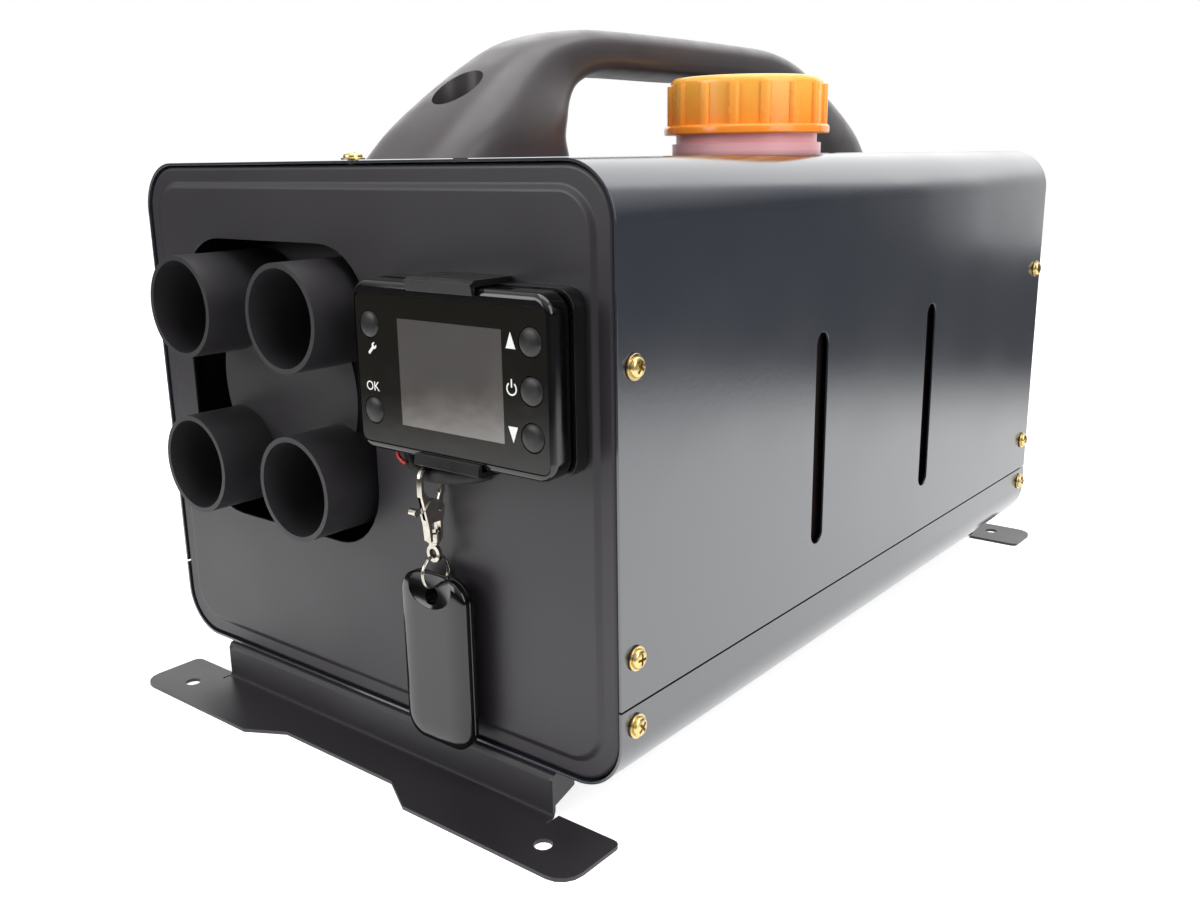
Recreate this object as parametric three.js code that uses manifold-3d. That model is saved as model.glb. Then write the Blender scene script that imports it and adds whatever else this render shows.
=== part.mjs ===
// A portable diesel air heater in a sheet-metal housing, with four hot-air outlets, a clip-on
// controller and a remote on a clasp. Millimetres, +Z up. The origin is on the floor under the
// middle of the housing; the outlets face -Y and the fuel tank stands on the +X side.
import * as THREE from "three";
import { mergeVertices } from "three/addons/utils/BufferGeometryUtils.js";
import Module from "manifold-3d";

// ---------------------------------------------------------------- driving dimensions
const SEAT_GAP = 0.3; // between two pieces that rest on each other
const FLOOR_GAP = 19; // floor to the housing's underside

// Housing: an upper cover over a pan, with a pressed panel let into each end
const HOUSING_WIDTH = 262;
const HOUSING_LENGTH = 400;
const HOUSING_HEIGHT = 217;
const HOUSING_CORNER = 20.5;
const COVER_SHEET = 1;
const PAN_HEIGHT = 32.4; // side walls of the pan, up to the seam
const SEAM_GAP = 0.8;
const LAP_HEIGHT = 8.6; // joggled flange of the pan behind the cover
const LAP_END = 22; // the flange stops this far from the housing's ends
const PANEL_SHEET = 1.2;
const PANEL_GAP = 0.5; // round the panel, inside the cover
const PANEL_SETBACK = 0.5; // rim of the panel behind the cover's edge
const PANEL_SKIRT = 16;
const PANEL_RIM = 7.5; // flat rim outside the raised field
const PANEL_STEP = 1.2; // how far the field stands out
const FIELD_CORNER = 14.5;
const SLOT_LENGTH = 90.5; // fuel sight slots in the right side
const SLOT_WIDTH = 10;
const SLOT_HEIGHT = 120.5; // slot centre over the floor
const SLOT_PLACES = [-63, 46.6];

// Screws
const SCREW_HEAD = 9;
const SCREW_HEAD_HEIGHT = 2.6;
const SCREW_SHANK = 4;
const SCREW_LENGTH = 8;
const SCREW_CLEARANCE = 0.3;
const SCREW_INSET = 8.5; // from the housing's ends
const SCREW_HEIGHTS = [25.1, 50.5, 151.6]; // over the housing's underside

// Feet
const FOOT_SHEET = 1.5;
const FOOT_BEND = 2.6;
const FOOT_INSET = 1; // ends of the foot inside the housing's sides
const FOOT_TAB_REACH = 30; // out from the housing's end
const FOOT_MIDDLE_REACH = 20.5;
const FOOT_TAB_START = 50; // from the centre line
const FOOT_STEP = 17; // length of the S between middle and tab
const FOOT_CORNER = 9;
const FOOT_WALL_INSET = 30; // likewise for its upright wall
const FOOT_LEDGE = 20; // under the pan
const FOOT_RETURN = 11;
const FOOT_HOLE = 7;
const FOOT_HOLE_INSET = 21.5; // bolt holes inside the foot's ends
const FOOT_HOLE_REACH = 16.8;

// Carrying handle
const HANDLE_X = 7;
const HANDLE_LENGTH = 357;
const HANDLE_HEIGHT = 54.3;
const HANDLE_GRIP_WIDTH = 41;
const HANDLE_FOOT_WIDTH = 60;
const HAND_GAP_LENGTH = 188;
const HAND_GAP_HEIGHT = 34.9;
const HANDLE_SCREW_SPAN = 284;
const HANDLE_COUNTERBORE = 20.7;
const HANDLE_SCREW_SEAT = 6; // plastic under the screw head
const HANDLE_SCREW_SHANK = 6;
const HANDLE_SCREW_HEAD = 12;
const HANDLE_SCREW_LENGTH = 14;

// Heater unit and its outlet manifold
const HEATER_X = -46.7;
const HEATER_HEIGHT = 145.3; // axis over the floor
const OPENING_SIZE = 120;
const OPENING_CORNER = 26.7;
const TUBE_DIAMETER = 42;
const TUBE_WALL = 2;
const TUBE_SPACING = 66.8;
const TUBE_REACH = 21; // in front of the housing
const DRUM_DIAMETER = 88;
const DRUM_SETBACK = 5; // face of the drum behind the housing's front
const MANIFOLD_WALL = 2.5;
const PLENUM_FRONT = 25; // behind the housing's front
const PLENUM_DEPTH = 25;
const CASE_SIZE = 110;
const CASE_CORNER = 30;
const CASE_WALL = 2;
const CASE_LAP = 10; // length inside the plenum
const CASE_SPIGOT_X = 26.7; // where the fuel enters, from the heater's axis
const CASE_SPIGOT_Y = 60;
const FIN_COUNT = 20;
const FIN_THICKNESS = 2.2;
const EXCHANGER_CORE = 38;
const EXCHANGER_BORE = 33;
const EXCHANGER_LENGTH = 160;
const EXCHANGER_FRONT = -135;
const EXHAUST_X = -15.3; // from the heater's axis
const EXHAUST_Y = -60;
const EXHAUST_DIAMETER = 24;
const EXHAUST_WALL = 1.5;
const INTAKE_X = 21.7;
const INTAKE_Y = 44;
const INTAKE_DIAMETER = 22;
const INTAKE_WALL = 2;
const PIPE_HEIGHT = 50; // pipe centres over the floor, at the rear
const PIPE_REACH = 26; // behind the housing
const BURNER_RADIUS = 28;
const BURNER_WALL = 2;
const BURNER_LENGTH = 125;
const BURNER_FLANGE = 37;
const FLANGE_SHEET = 3;
const GLOW_PLUG_DIAMETER = 8;
const GLOW_PLUG_OFFSET = 18;
const MOTOR_RADIUS = 24;
const MOTOR_LENGTH = 50;
const MOTOR_PLATE = 2.5;
const MOTOR_GAP = 21; // burner flange to motor plate
const SHAFT_RADIUS = 3;
const BLOWER_CUP_RADIUS = 33;
const IMPELLER_RADIUS = 27;
const IMPELLER_DEPTH = 7;
const IMPELLER_BLADES = 6;
const FAN_RADIUS = 47;
const FAN_HUB_RADIUS = 14;
const FAN_DEPTH = 20;
const FAN_BLADES = 7;
const FAN_Y = 150;
const LEG_SPAN = 100;
const LEG_SHEET = 2;
const LEG_LENGTH = 120;
const LEG_Y = 30;
const LEG_FOOT = 12;
const BOARD_WIDTH = 40;
const BOARD_LENGTH = 60;
const BOARD_THICKNESS = 1.6;
const BOARD_GAP = 3.4; // to the case above it
const BOARD_POST_INSET = 4.5;
const GRILLE_DIAMETER = 96;
const GRILLE_SLOTS = 8;
const GRILLE_SLOT = 6;

// Fuel system
const TANK_X = 69.5;
const TANK_Y = -25;
const TANK_WIDTH = 115;
const TANK_LENGTH = 250;
const TANK_HEIGHT = 205.5;
const TANK_CORNER = 20;
const TANK_EDGE = 17;
const TANK_WALL = 2.5;
const NECK_COLLAR_RADIUS = 33;
const NECK_COLLAR_TOP = 240.9; // heights over the floor
const NECK_RADIUS = 31.2;
const NECK_TOP = 262;
const NECK_BORE = 27;
const NECK_CLEARANCE = 0.7;
const CAP_BOTTOM = 244.7;
const CAP_TOP = 268.6;
const CAP_RADIUS = 33.7;
const CAP_BRIM_RADIUS = 36.5;
const CAP_BRIM_HEIGHT = 3.8;
const CAP_RIBS = 16;
const CAP_RIB_WIDTH = 4;
const CAP_RIB_DEPTH = 1.8;
const CAP_RIB_DROP = 3.8; // top of the ribs below the cap's top
const CAP_CLEARANCE = 0.7;
const SEAL_THICKNESS = 1.8;
const SPIGOT_RADIUS = 3.2;
const SPIGOT_LENGTH = 8;
const SPIGOT_HEIGHT = 10; // over the tank's underside
const PUMP_X = 95;
const PUMP_Y = 150;
const PUMP_RADIUS = 13;
const PUMP_BOTTOM = 62;
const PUMP_LENGTH = 70;
const PUMP_NOZZLE = 12;
const NOZZLE_RADIUS = 2.6;
const CLAMP_WALL = 3.5;
const CLAMP_HEIGHT = 14;
const HOSE_RADIUS = 3;
const HOSE_BORE = 1.7;
const INLET_X = 62;
const INLET_HEIGHT = 50;
const INLET_RADIUS = 9;

// Controller, with the middle of its face at CONTROLLER_X, CONTROLLER_HEIGHT
const CONTROLLER_X = 72.1;
const CONTROLLER_HEIGHT = 165.2;
const CONTROLLER_FACE = 18; // in front of the housing's front
const BEZEL_WIDTH = 93.5;
const BEZEL_HEIGHT = 61;
const BEZEL_DEPTH = 8.5;
const BEZEL_CORNER = 7;
const BEZEL_WALL = 1.6;
const LENS_WIDTH = 90;
const LENS_HEIGHT = 53.5;
const LENS_THICKNESS = 1.5;
const LENS_SETBACK = 0.4;
const LENS_DROP = 0.8; // lens centre below the bezel's
const SHELF_THICKNESS = 1.5;
const SCREEN_WIDTH = 49;
const SCREEN_HEIGHT = 37.6;
const SCREEN_X = 1.1;
const SCREEN_THICKNESS = 2.4;
const BUTTON_RADIUS = 4.8;
const BUTTON_CLEARANCE = 0.35;
const BUTTON_FLANGE = 1;
const BUTTON_DOME = 1.1; // proud of the lens
const BUTTON_REACH = 38; // left and right of the bezel's centre
const BUTTON_RISE = 15.2; // upper and lower rows from the lens's centre
const BUTTON_TRAVEL = 1;
const HOLDER_DEPTH = 6;
const HOLDER_WALL = 2;
const CLIP_WIDTH = 31;
const CLIP_THICKNESS = 2.2;
const CLIP_LIP = 2.6;
const HOUSING_WALL = 1.6;

// Control cable, clasp, ring and remote, hung from CHAIN_X
const CHAIN_X = 51.5;
const CHAIN_Y = -208.4;
const CABLE_RADIUS = 2.5;
const CABLE_HEIGHT = 125.5; // lowest point of the cable's centre line
const HOOK_WIRE = 2.2;
const HOOK_THICKNESS = 2.4;
const CLASP_CHEEK = 1;
const TRIGGER_THICKNESS = 0.9;
const TRIGGER_PIVOT = [2.4, -13.2];
const TRIGGER_SLOPE = 0.4; // outer edge of its tip below the inner edge, so that it swings in freely
const LINK_GAP = 0.25;
const EYE_RADIUS = 3.4;
const EYE_WIRE = 1.5;
const EYE_DROP = 29.7; // eye centre below the cable's centre
const RING_RADIUS = 6.3;
const RING_WIRE = 0.65;
const REMOTE_WIDTH = 34;
const REMOTE_HEIGHT = 68;
const REMOTE_THICKNESS = 8.5;
const REMOTE_CORNER = 9;
const REMOTE_EDGE = 2.2;
const REMOTE_HOLE = 3.2;
const REMOTE_SCOOP = 5.6;
const REMOTE_HOLE_DROP = 7.7; // hole centre below the remote's top

// ---------------------------------------------------------------- what follows from them
const HALF_LENGTH = HOUSING_LENGTH / 2;
const HALF_WIDTH = HOUSING_WIDTH / 2;
const HOUSING_TOP = FLOOR_GAP + HOUSING_HEIGHT;
const COVER_BOTTOM = FLOOR_GAP + PAN_HEIGHT + SEAM_GAP;
const PANEL_EDGE = COVER_SHEET + PANEL_GAP; // housing's skin to the panel's edge
const PANEL_INSIDE = HALF_LENGTH - PANEL_SETBACK + PANEL_STEP - PANEL_SHEET; // behind a raised field
const PANEL_FRONT = HALF_LENGTH - PANEL_SETBACK + PANEL_STEP; // outer face of a raised field
const FLOOR_OF_PAN = FLOOR_GAP + COVER_SHEET;
const SCREW_PLACE = HALF_LENGTH - SCREW_INSET;
const FOOT_HALF_SPAN = HALF_WIDTH - FOOT_INSET;
const FOOT_WALL_END = FOOT_HALF_SPAN - FOOT_WALL_INSET;
const SCREW_HOLE = SCREW_SHANK / 2 + SCREW_CLEARANCE;
const TANK_BOTTOM = FLOOR_OF_PAN + SEAT_GAP;
const BURNER_REAR = EXCHANGER_FRONT + EXCHANGER_LENGTH + SEAT_GAP + FLANGE_SHEET;
const MOTOR_FRONT = BURNER_REAR + MOTOR_GAP;

// ---------------------------------------------------------------- materials
function finish(color, roughness, metalness = 0) {
  return new THREE.MeshStandardMaterial({ color, roughness, metalness });
}
const grayPaint = finish(0x3a3f45, 0.35, 0.1);
const blackPaint = finish(0x1c1c1e, 0.55, 0.1);
const blackPlastic = finish(0x17171a, 0.6);
const glossPlastic = finish(0x0c0c0e, 0.15);
const lensPlastic = finish(0x15150f, 0.08);
const screenGlass = finish(0x4a4a46, 0.2);
const keyRubber = finish(0x2b2b2d, 0.5);
const yellowZinc = finish(0xc9b26a, 0.35, 1);
const darkZinc = finish(0x3c3c3e, 0.4, 1);
const nickel = finish(0xd0cdc6, 0.15, 1);
const orangePlastic = finish(0xff7a1a, 0.3);
const tankPlastic = finish(0xe9dedb, 0.5);
const sealRubber = finish(0x202020, 0.8);
const castAluminium = finish(0x9fa2a6, 0.5, 1);
const stainless = finish(0xb6b4b0, 0.35, 1);
const boardGreen = finish(0x1e5a3a, 0.5);

// ---------------------------------------------------------------- shapes and solids
const wasm = await Module();
wasm.setup();

function solidOf(geometry) {
  const bare = geometry.index ? geometry.toNonIndexed() : geometry;
  bare.deleteAttribute("normal");
  bare.deleteAttribute("uv");
  const merged = mergeVertices(bare, 1e-4);
  return new wasm.Manifold(
    new wasm.Mesh({
      numProp: 3,
      vertProperties: merged.attributes.position.array,
      triVerts: new Uint32Array(merged.index.array),
    }),
  );
}

function join(first, ...others) {
  return others.reduce((sum, other) => sum.add(other), first);
}

function cut(body, ...tools) {
  return tools.reduce((rest, tool) => rest.subtract(tool), body);
}

function box(x0, x1, y0, y1, z0, z1) {
  const geometry = new THREE.BoxGeometry(x1 - x0, y1 - y0, z1 - z0);
  return solidOf(geometry.translate((x0 + x1) / 2, (y0 + y1) / 2, (z0 + z1) / 2));
}

// Turns a shape's own axes and its depth to the part's axes: along x it holds (y, z), along y (x, z).
const AXIS_X = new THREE.Vector3(1, 0, 0);
const AXIS_Y = new THREE.Vector3(0, 1, 0);
const AXIS_Z = new THREE.Vector3(0, 0, 1);
const TURNS = {
  x: new THREE.Matrix4().makeBasis(AXIS_Y, AXIS_Z, AXIS_X),
  y: new THREE.Matrix4().makeBasis(AXIS_X, AXIS_Z, AXIS_Y.clone().negate()),
  z: new THREE.Matrix4(),
};

// A shape drawn out along an axis, from the lower to the higher coordinate, with rounded ends.
function prism(shape, axis, from, to, bevel = 0, curveSegments = 2) {
  const geometry = new THREE.ExtrudeGeometry(shape, {
    depth: to - from - 2 * bevel,
    bevelEnabled: bevel > 0,
    bevelThickness: bevel,
    bevelSize: bevel,
    bevelOffset: -bevel,
    bevelSegments: Math.min(2, Math.ceil(bevel / 2)),
    curveSegments,
  });
  geometry.translate(0, 0, bevel).applyMatrix4(TURNS[axis]);
  const start = { x: [from, 0, 0], y: [0, to, 0], z: [0, 0, from] }[axis];
  return solidOf(geometry.translate(...start));
}

// A round bar; a and b are its centre on the two other axes, in X, Y, Z order.
function rod(axis, a, b, radius, from, to, sides = 12, endRadius = radius) {
  const geometry = new THREE.CylinderGeometry(endRadius, radius, to - from, sides);
  const middle = (from + to) / 2;
  if (axis === "x") geometry.rotateZ(-Math.PI / 2).translate(middle, a, b);
  if (axis === "y") geometry.translate(a, middle, b);
  if (axis === "z") geometry.rotateX(Math.PI / 2).translate(a, b, middle);
  return solidOf(geometry);
}

// A profile of [radius, height] points turned about Z; it starts and ends on the axis or closes.
function revolve(profile, sides) {
  const points = profile.map(([r, h]) => new THREE.Vector2(r, h));
  return solidOf(new THREE.LatheGeometry(points, sides).rotateX(Math.PI / 2));
}

function polygon(points) {
  return new THREE.Shape(points.map(([a, b]) => new THREE.Vector2(a, b)));
}

function roundedRectangle(width, height, radius, a = 0, b = 0) {
  const [w, h] = [width / 2 - radius, height / 2 - radius];
  const shape = new THREE.Shape();
  shape.absarc(a + w, b + h, radius, 0, Math.PI / 2);
  shape.absarc(a - w, b + h, radius, Math.PI / 2, Math.PI);
  shape.absarc(a - w, b - h, radius, Math.PI, 1.5 * Math.PI);
  shape.absarc(a + w, b - h, radius, 1.5 * Math.PI, 2 * Math.PI);
  return shape;
}

function regularPolygon(radius, sides) {
  return Array.from({ length: sides }, (_, i) => {
    const angle = (2 * Math.PI * i) / sides;
    return [radius * Math.cos(angle), radius * Math.sin(angle)];
  });
}

// A hose or cord along a smooth path.
function tube(path, radius, sides, steps) {
  const shape = polygon(regularPolygon(radius, sides));
  const curve = new THREE.CatmullRomCurve3(path.map((p) => new THREE.Vector3(...p)));
  return solidOf(new THREE.ExtrudeGeometry(shape, { steps, extrudePath: curve, bevelEnabled: false }));
}

// A skin through rings of equally many points, closed at both ends.
function loft(rings) {
  const count = rings[0].length;
  const positions = [];
  const triangle = (a, b, c) => positions.push(...a, ...b, ...c);
  const centre = (ring) => [0, 1, 2].map((k) => ring.reduce((s, p) => s + p[k], 0) / count);
  rings.slice(1).forEach((ring, i) => {
    for (let j = 0; j < count; j++) {
      const k = (j + 1) % count;
      triangle(rings[i][j], rings[i][k], ring[k]);
      triangle(rings[i][j], ring[k], ring[j]);
    }
  });
  const first = rings[0];
  const last = rings[rings.length - 1];
  const [start, end] = [centre(first), centre(last)];
  for (let j = 0; j < count; j++) {
    const k = (j + 1) % count;
    triangle(start, first[k], first[j]);
    triangle(end, last[j], last[k]);
  }
  const geometry = new THREE.BufferGeometry();
  geometry.setAttribute("position", new THREE.Float32BufferAttribute(positions, 3));
  return solidOf(geometry);
}

// Outline of a sheet whose centre line runs through the points, bent to a radius at each.
function bentSheet(points, sheet, bend) {
  const track = [];
  const heading = (i) => Math.atan2(points[i + 1][1] - points[i][1], points[i + 1][0] - points[i][0]);
  const mark = (a, b, angle) => track.push([a, b, -Math.sin(angle), Math.cos(angle)]);
  mark(...points[0], heading(0));
  for (let i = 1; i < points.length - 1; i++) {
    const [before, after] = [heading(i - 1), heading(i)];
    const turn = Math.atan2(Math.sin(after - before), Math.cos(after - before));
    const side = Math.sign(turn);
    const reach = bend * Math.tan(Math.abs(turn) / 2);
    const a = points[i][0] - reach * Math.cos(before) - side * bend * Math.sin(before);
    const b = points[i][1] - reach * Math.sin(before) + side * bend * Math.cos(before);
    for (let step = 0; step <= 2; step++) {
      const angle = before + (turn * step) / 2;
      mark(a + side * bend * Math.sin(angle), b - side * bend * Math.cos(angle), angle);
    }
  }
  mark(...points[points.length - 1], heading(points.length - 2));
  const edge = (offset) => track.map(([a, b, u, v]) => [a + u * offset, b + v * offset]);
  return polygon([...edge(-sheet / 2), ...edge(sheet / 2).reverse()]);
}

// ---------------------------------------------------------------- scene graph
function group(x, y, z, turn = 0) {
  const made = new THREE.Group();
  made.position.set(x, y, z);
  made.rotation.z = turn;
  return made;
}

function add(parent, name, solid, material) {
  const { vertProperties, triVerts } = solid.getMesh();
  const geometry = new THREE.BufferGeometry();
  geometry.setAttribute("position", new THREE.BufferAttribute(new Float32Array(vertProperties), 3));
  geometry.setIndex(new THREE.BufferAttribute(new Uint32Array(triVerts), 1));
  const mesh = new THREE.Mesh(geometry.toNonIndexed(), material);
  mesh.geometry.computeVertexNormals();
  mesh.name = name;
  parent.add(mesh);
}

const heater = group(0, 0, 0);

// ---------------------------------------------------------------- housing
// A sheet bent over two rounded corners: its legs end at height 0, its crown is at the given height.
function channel(height, corner, sheet) {
  const inner = corner - sheet;
  const [a, b] = [HALF_WIDTH - corner, height - corner];
  const shape = new THREE.Shape();
  shape.moveTo(HALF_WIDTH, 0);
  shape.absarc(a, b, corner, 0, Math.PI / 2);
  shape.absarc(-a, b, corner, Math.PI / 2, Math.PI);
  shape.lineTo(-HALF_WIDTH, 0);
  shape.lineTo(-HALF_WIDTH + sheet, 0);
  shape.absarc(-a, b, inner, Math.PI, Math.PI / 2, true);
  shape.absarc(a, b, inner, Math.PI / 2, 0, true);
  shape.lineTo(HALF_WIDTH - sheet, 0);
  return shape;
}

function upperCover() {
  const height = HOUSING_TOP - COVER_BOTTOM;
  const shape = channel(height, HOUSING_CORNER, COVER_SHEET);
  const shell = prism(shape, "y", -HALF_LENGTH, HALF_LENGTH, 0, 3);
  const outline = (y) => roundedRectangle(SLOT_WIDTH, SLOT_LENGTH, SLOT_WIDTH / 2 - 0.01, y, SLOT_HEIGHT);
  const slots = SLOT_PLACES.map((y) => prism(outline(y), "x", HALF_WIDTH - 5, HALF_WIDTH + 5, 0, 1));
  const neck = NECK_COLLAR_RADIUS + NECK_CLEARANCE;
  const topCut = (x, y, radius, sides = 8) => rod("z", x, y, radius, HOUSING_TOP - 5, HOUSING_TOP + 5, sides);
  const ends = [-SCREW_PLACE, SCREW_PLACE];
  const sideCuts = SCREW_HEIGHTS.slice(1).flatMap((z) =>
    ends.map((y) => rod("x", y, FLOOR_GAP + z, SCREW_HOLE, -HALF_WIDTH - 5, HALF_WIDTH + 5, 8)),
  );
  const handleHole = HANDLE_SCREW_SHANK / 2 + SCREW_CLEARANCE;
  return cut(
    shell.translate([0, 0, COVER_BOTTOM]),
    ...slots,
    topCut(TANK_X, TANK_Y, neck, 24),
    ...ends.map((y) => topCut(0, y, SCREW_HOLE)),
    ...[-1, 1].map((side) => topCut(HANDLE_X, (side * HANDLE_SCREW_SPAN) / 2, handleHole)),
    ...sideCuts,
  );
}

function bottomPan() {
  const shape = channel(PAN_HEIGHT, HOUSING_CORNER, COVER_SHEET);
  const shell = prism(shape, "y", -HALF_LENGTH, HALF_LENGTH, 0, 3).rotate([0, 180, 0]);
  const outside = HALF_WIDTH - COVER_SHEET - SEAT_GAP;
  const lap = polygon([
    [HALF_WIDTH, -COVER_SHEET],
    [HALF_WIDTH, 0],
    [outside, 0],
    [outside, LAP_HEIGHT],
    [outside - COVER_SHEET, LAP_HEIGHT],
    [outside - COVER_SHEET, -COVER_SHEET],
  ]);
  const right = prism(lap, "y", LAP_END - HALF_LENGTH, HALF_LENGTH - LAP_END);
  const left = right.rotate([0, 0, 180]);
  const holes = [-SCREW_PLACE, SCREW_PLACE].map((y) =>
    rod("x", y, SCREW_HEIGHTS[0] - PAN_HEIGHT, SCREW_HOLE, -HALF_WIDTH - 5, HALF_WIDTH + 5, 8),
  );
  return cut(join(shell, right, left), ...holes).translate([0, 0, FLOOR_GAP + PAN_HEIGHT]);
}

// A pressed end panel: rim at y = 0, raised field in front of it, skirt running back. Local z is the floor's.
function endPanel(cutters) {
  const middle = FLOOR_GAP + HOUSING_HEIGHT / 2;
  const outline = (inset, corner) =>
    roundedRectangle(HOUSING_WIDTH - 2 * inset, HOUSING_HEIGHT - 2 * inset, corner, 0, middle);
  const corner = HOUSING_CORNER - PANEL_EDGE;
  const fieldInset = PANEL_EDGE + PANEL_RIM;
  const tray = prism(outline(PANEL_EDGE, corner), "y", 0, PANEL_SKIRT);
  const field = prism(outline(fieldInset, FIELD_CORNER), "y", -PANEL_STEP, PANEL_STEP, 0.8 * PANEL_STEP);
  const hollow = outline(PANEL_EDGE + PANEL_SHEET, corner - PANEL_SHEET);
  const fieldHollow = outline(fieldInset + PANEL_SHEET, FIELD_CORNER - PANEL_SHEET);
  const sideHoles = SCREW_HEIGHTS.map((z) =>
    rod("x", SCREW_INSET - PANEL_SETBACK, FLOOR_GAP + z, SCREW_HOLE, -HALF_WIDTH, HALF_WIDTH, 8),
  );
  const topHole = rod("z", 0, SCREW_INSET - PANEL_SETBACK, SCREW_HOLE, HOUSING_TOP - 8, HOUSING_TOP, 8);
  return cut(
    join(tray, field),
    prism(hollow, "y", PANEL_SHEET, PANEL_SKIRT + 1),
    prism(fieldHollow, "y", PANEL_SHEET - PANEL_STEP, PANEL_SHEET + 1),
    ...sideHoles,
    topHole,
    ...cutters,
  );
}

function outletOpening() {
  const shape = roundedRectangle(OPENING_SIZE, OPENING_SIZE, OPENING_CORNER, HEATER_X, HEATER_HEIGHT);
  return prism(shape, "y", -5, 5);
}

// Rows of slots whose ends lie on a circle, as punched over a fan.
function grilleCutters() {
  const pitch = GRILLE_DIAMETER / GRILLE_SLOTS;
  return Array.from({ length: GRILLE_SLOTS }, (_, i) => {
    const rise = (i - (GRILLE_SLOTS - 1) / 2) * pitch;
    const length = 2 * Math.sqrt((GRILLE_DIAMETER / 2) ** 2 - rise ** 2);
    const end = GRILLE_SLOT / 2 - 0.01;
    const slot = roundedRectangle(length, GRILLE_SLOT, end, -HEATER_X, HEATER_HEIGHT + rise);
    return prism(slot, "y", -5, 5, 0, 1);
  });
}

function rearCutters() {
  const hole = (x, height, radius) => rod("y", -x, height, radius, -5, 5);
  return [
    ...grilleCutters(),
    hole(HEATER_X + EXHAUST_X, PIPE_HEIGHT, EXHAUST_DIAMETER / 2 + PANEL_GAP),
    hole(HEATER_X + INTAKE_X, PIPE_HEIGHT, INTAKE_DIAMETER / 2 + PANEL_GAP),
    hole(INLET_X, INLET_HEIGHT, INLET_RADIUS - 1.5 + SEAT_GAP),
  ];
}

// Pan-head screw with its washer, head up, seated at z = 0.
function panScrew(head, headHeight, shank, length, seat) {
  const radius = head / 2;
  const profile = [
    [0, -length],
    [shank / 2, -length],
    [shank / 2, seat],
    [radius, seat],
    [0.86 * radius, seat + 0.7 * headHeight],
    [0, seat + headHeight],
  ];
  return revolve(profile, 8);
}

function sideScrew() {
  return panScrew(SCREW_HEAD, SCREW_HEAD_HEIGHT, SCREW_SHANK, SCREW_LENGTH, SEAT_GAP);
}

// One foot, seen from its own end: the housing's end is at y = 0 and the foot reaches to -y.
function footBracket() {
  const half = FOOT_HALF_SPAN;
  const start = FOOT_TAB_START;
  const inner = start - FOOT_STEP;
  const relief = FOOT_WALL_END + 1;
  const plate = new THREE.Shape();
  plate.moveTo(inner, -FOOT_MIDDLE_REACH);
  const bend = FOOT_STEP / 2;
  const [near, far] = [-FOOT_MIDDLE_REACH, -FOOT_TAB_REACH];
  plate.bezierCurveTo(inner + bend, near, start - bend, far, start, far);
  plate.absarc(half - FOOT_CORNER, FOOT_CORNER - FOOT_TAB_REACH, FOOT_CORNER, -Math.PI / 2, 0);
  plate.absarc(half - 3, -2.5, 3, 0, Math.PI / 2);
  plate.lineTo(relief, 0.5);
  plate.lineTo(relief, -6);
  plate.lineTo(-relief, -6);
  plate.lineTo(-relief, 0.5);
  plate.absarc(3 - half, -2.5, 3, Math.PI / 2, Math.PI);
  plate.absarc(FOOT_CORNER - half, FOOT_CORNER - FOOT_TAB_REACH, FOOT_CORNER, Math.PI, 1.5 * Math.PI);
  plate.lineTo(-start, -FOOT_TAB_REACH);
  plate.bezierCurveTo(bend - start, far, -inner - bend, near, -inner, near);

  const top = FLOOR_GAP - SEAT_GAP;
  const t = FOOT_SHEET / 2;
  const track = [
    [-12, t],
    [-t, t],
    [-t, top - t],
    [FOOT_LEDGE, top - t],
  ];
  const wall = prism(bentSheet(track, FOOT_SHEET, FOOT_BEND), "x", -FOOT_WALL_END, FOOT_WALL_END);
  const returnShape = polygon([
    [-FOOT_SHEET, 5],
    [FOOT_RETURN, 9],
    [FOOT_RETURN, top - t],
    [0, top - t],
    [-FOOT_SHEET, top - FOOT_BEND],
  ]);
  const edge = FOOT_WALL_END;
  return cut(
    join(
      prism(plate, "z", 0, FOOT_SHEET),
      wall,
      prism(returnShape, "x", edge - FOOT_SHEET, edge),
      prism(returnShape, "x", -edge, FOOT_SHEET - edge),
    ),
    ...[-1, 1].map((s) => rod("z", s * (half - FOOT_HOLE_INSET), -FOOT_HOLE_REACH, FOOT_HOLE / 2, -5, 5)),
  );
}

// ---------------------------------------------------------------- handle
// Points of the handle's side view for its front half: [distance in from the foot's end, height].
function handleCurves() {
  const end = HANDLE_LENGTH / 2;
  const gap = HAND_GAP_LENGTH / 2;
  const crest = [
    [0, 0],
    [14, 0.215],
    [33, 0.465],
    [52, 0.685],
    [70, 0.851],
    [86, 0.931],
    [104, 0.98],
    [130, 0.995],
  ];
  const arch = [
    [0, 0],
    [-3, 0.2],
    [0, 0.44],
    [3.5, 0.62],
    [8, 0.78],
    [15.5, 0.9],
    [28, 0.98],
    [45, 1],
  ];
  const front = (points, reach, height) => [
    ...points.map(([inset, rise]) => [inset - reach, rise * height]),
    [0, height],
  ];
  const whole = (half) => [...half, ...half.slice(0, -1).reverse().map(([y, z]) => [-y, z])];
  const curve = (half) => new THREE.CatmullRomCurve3(whole(half).map(([y, z]) => new THREE.Vector3(0, y, z)));
  return [curve(front(crest, end, HANDLE_HEIGHT)), curve(front(arch, gap, HAND_GAP_HEIGHT))];
}

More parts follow.
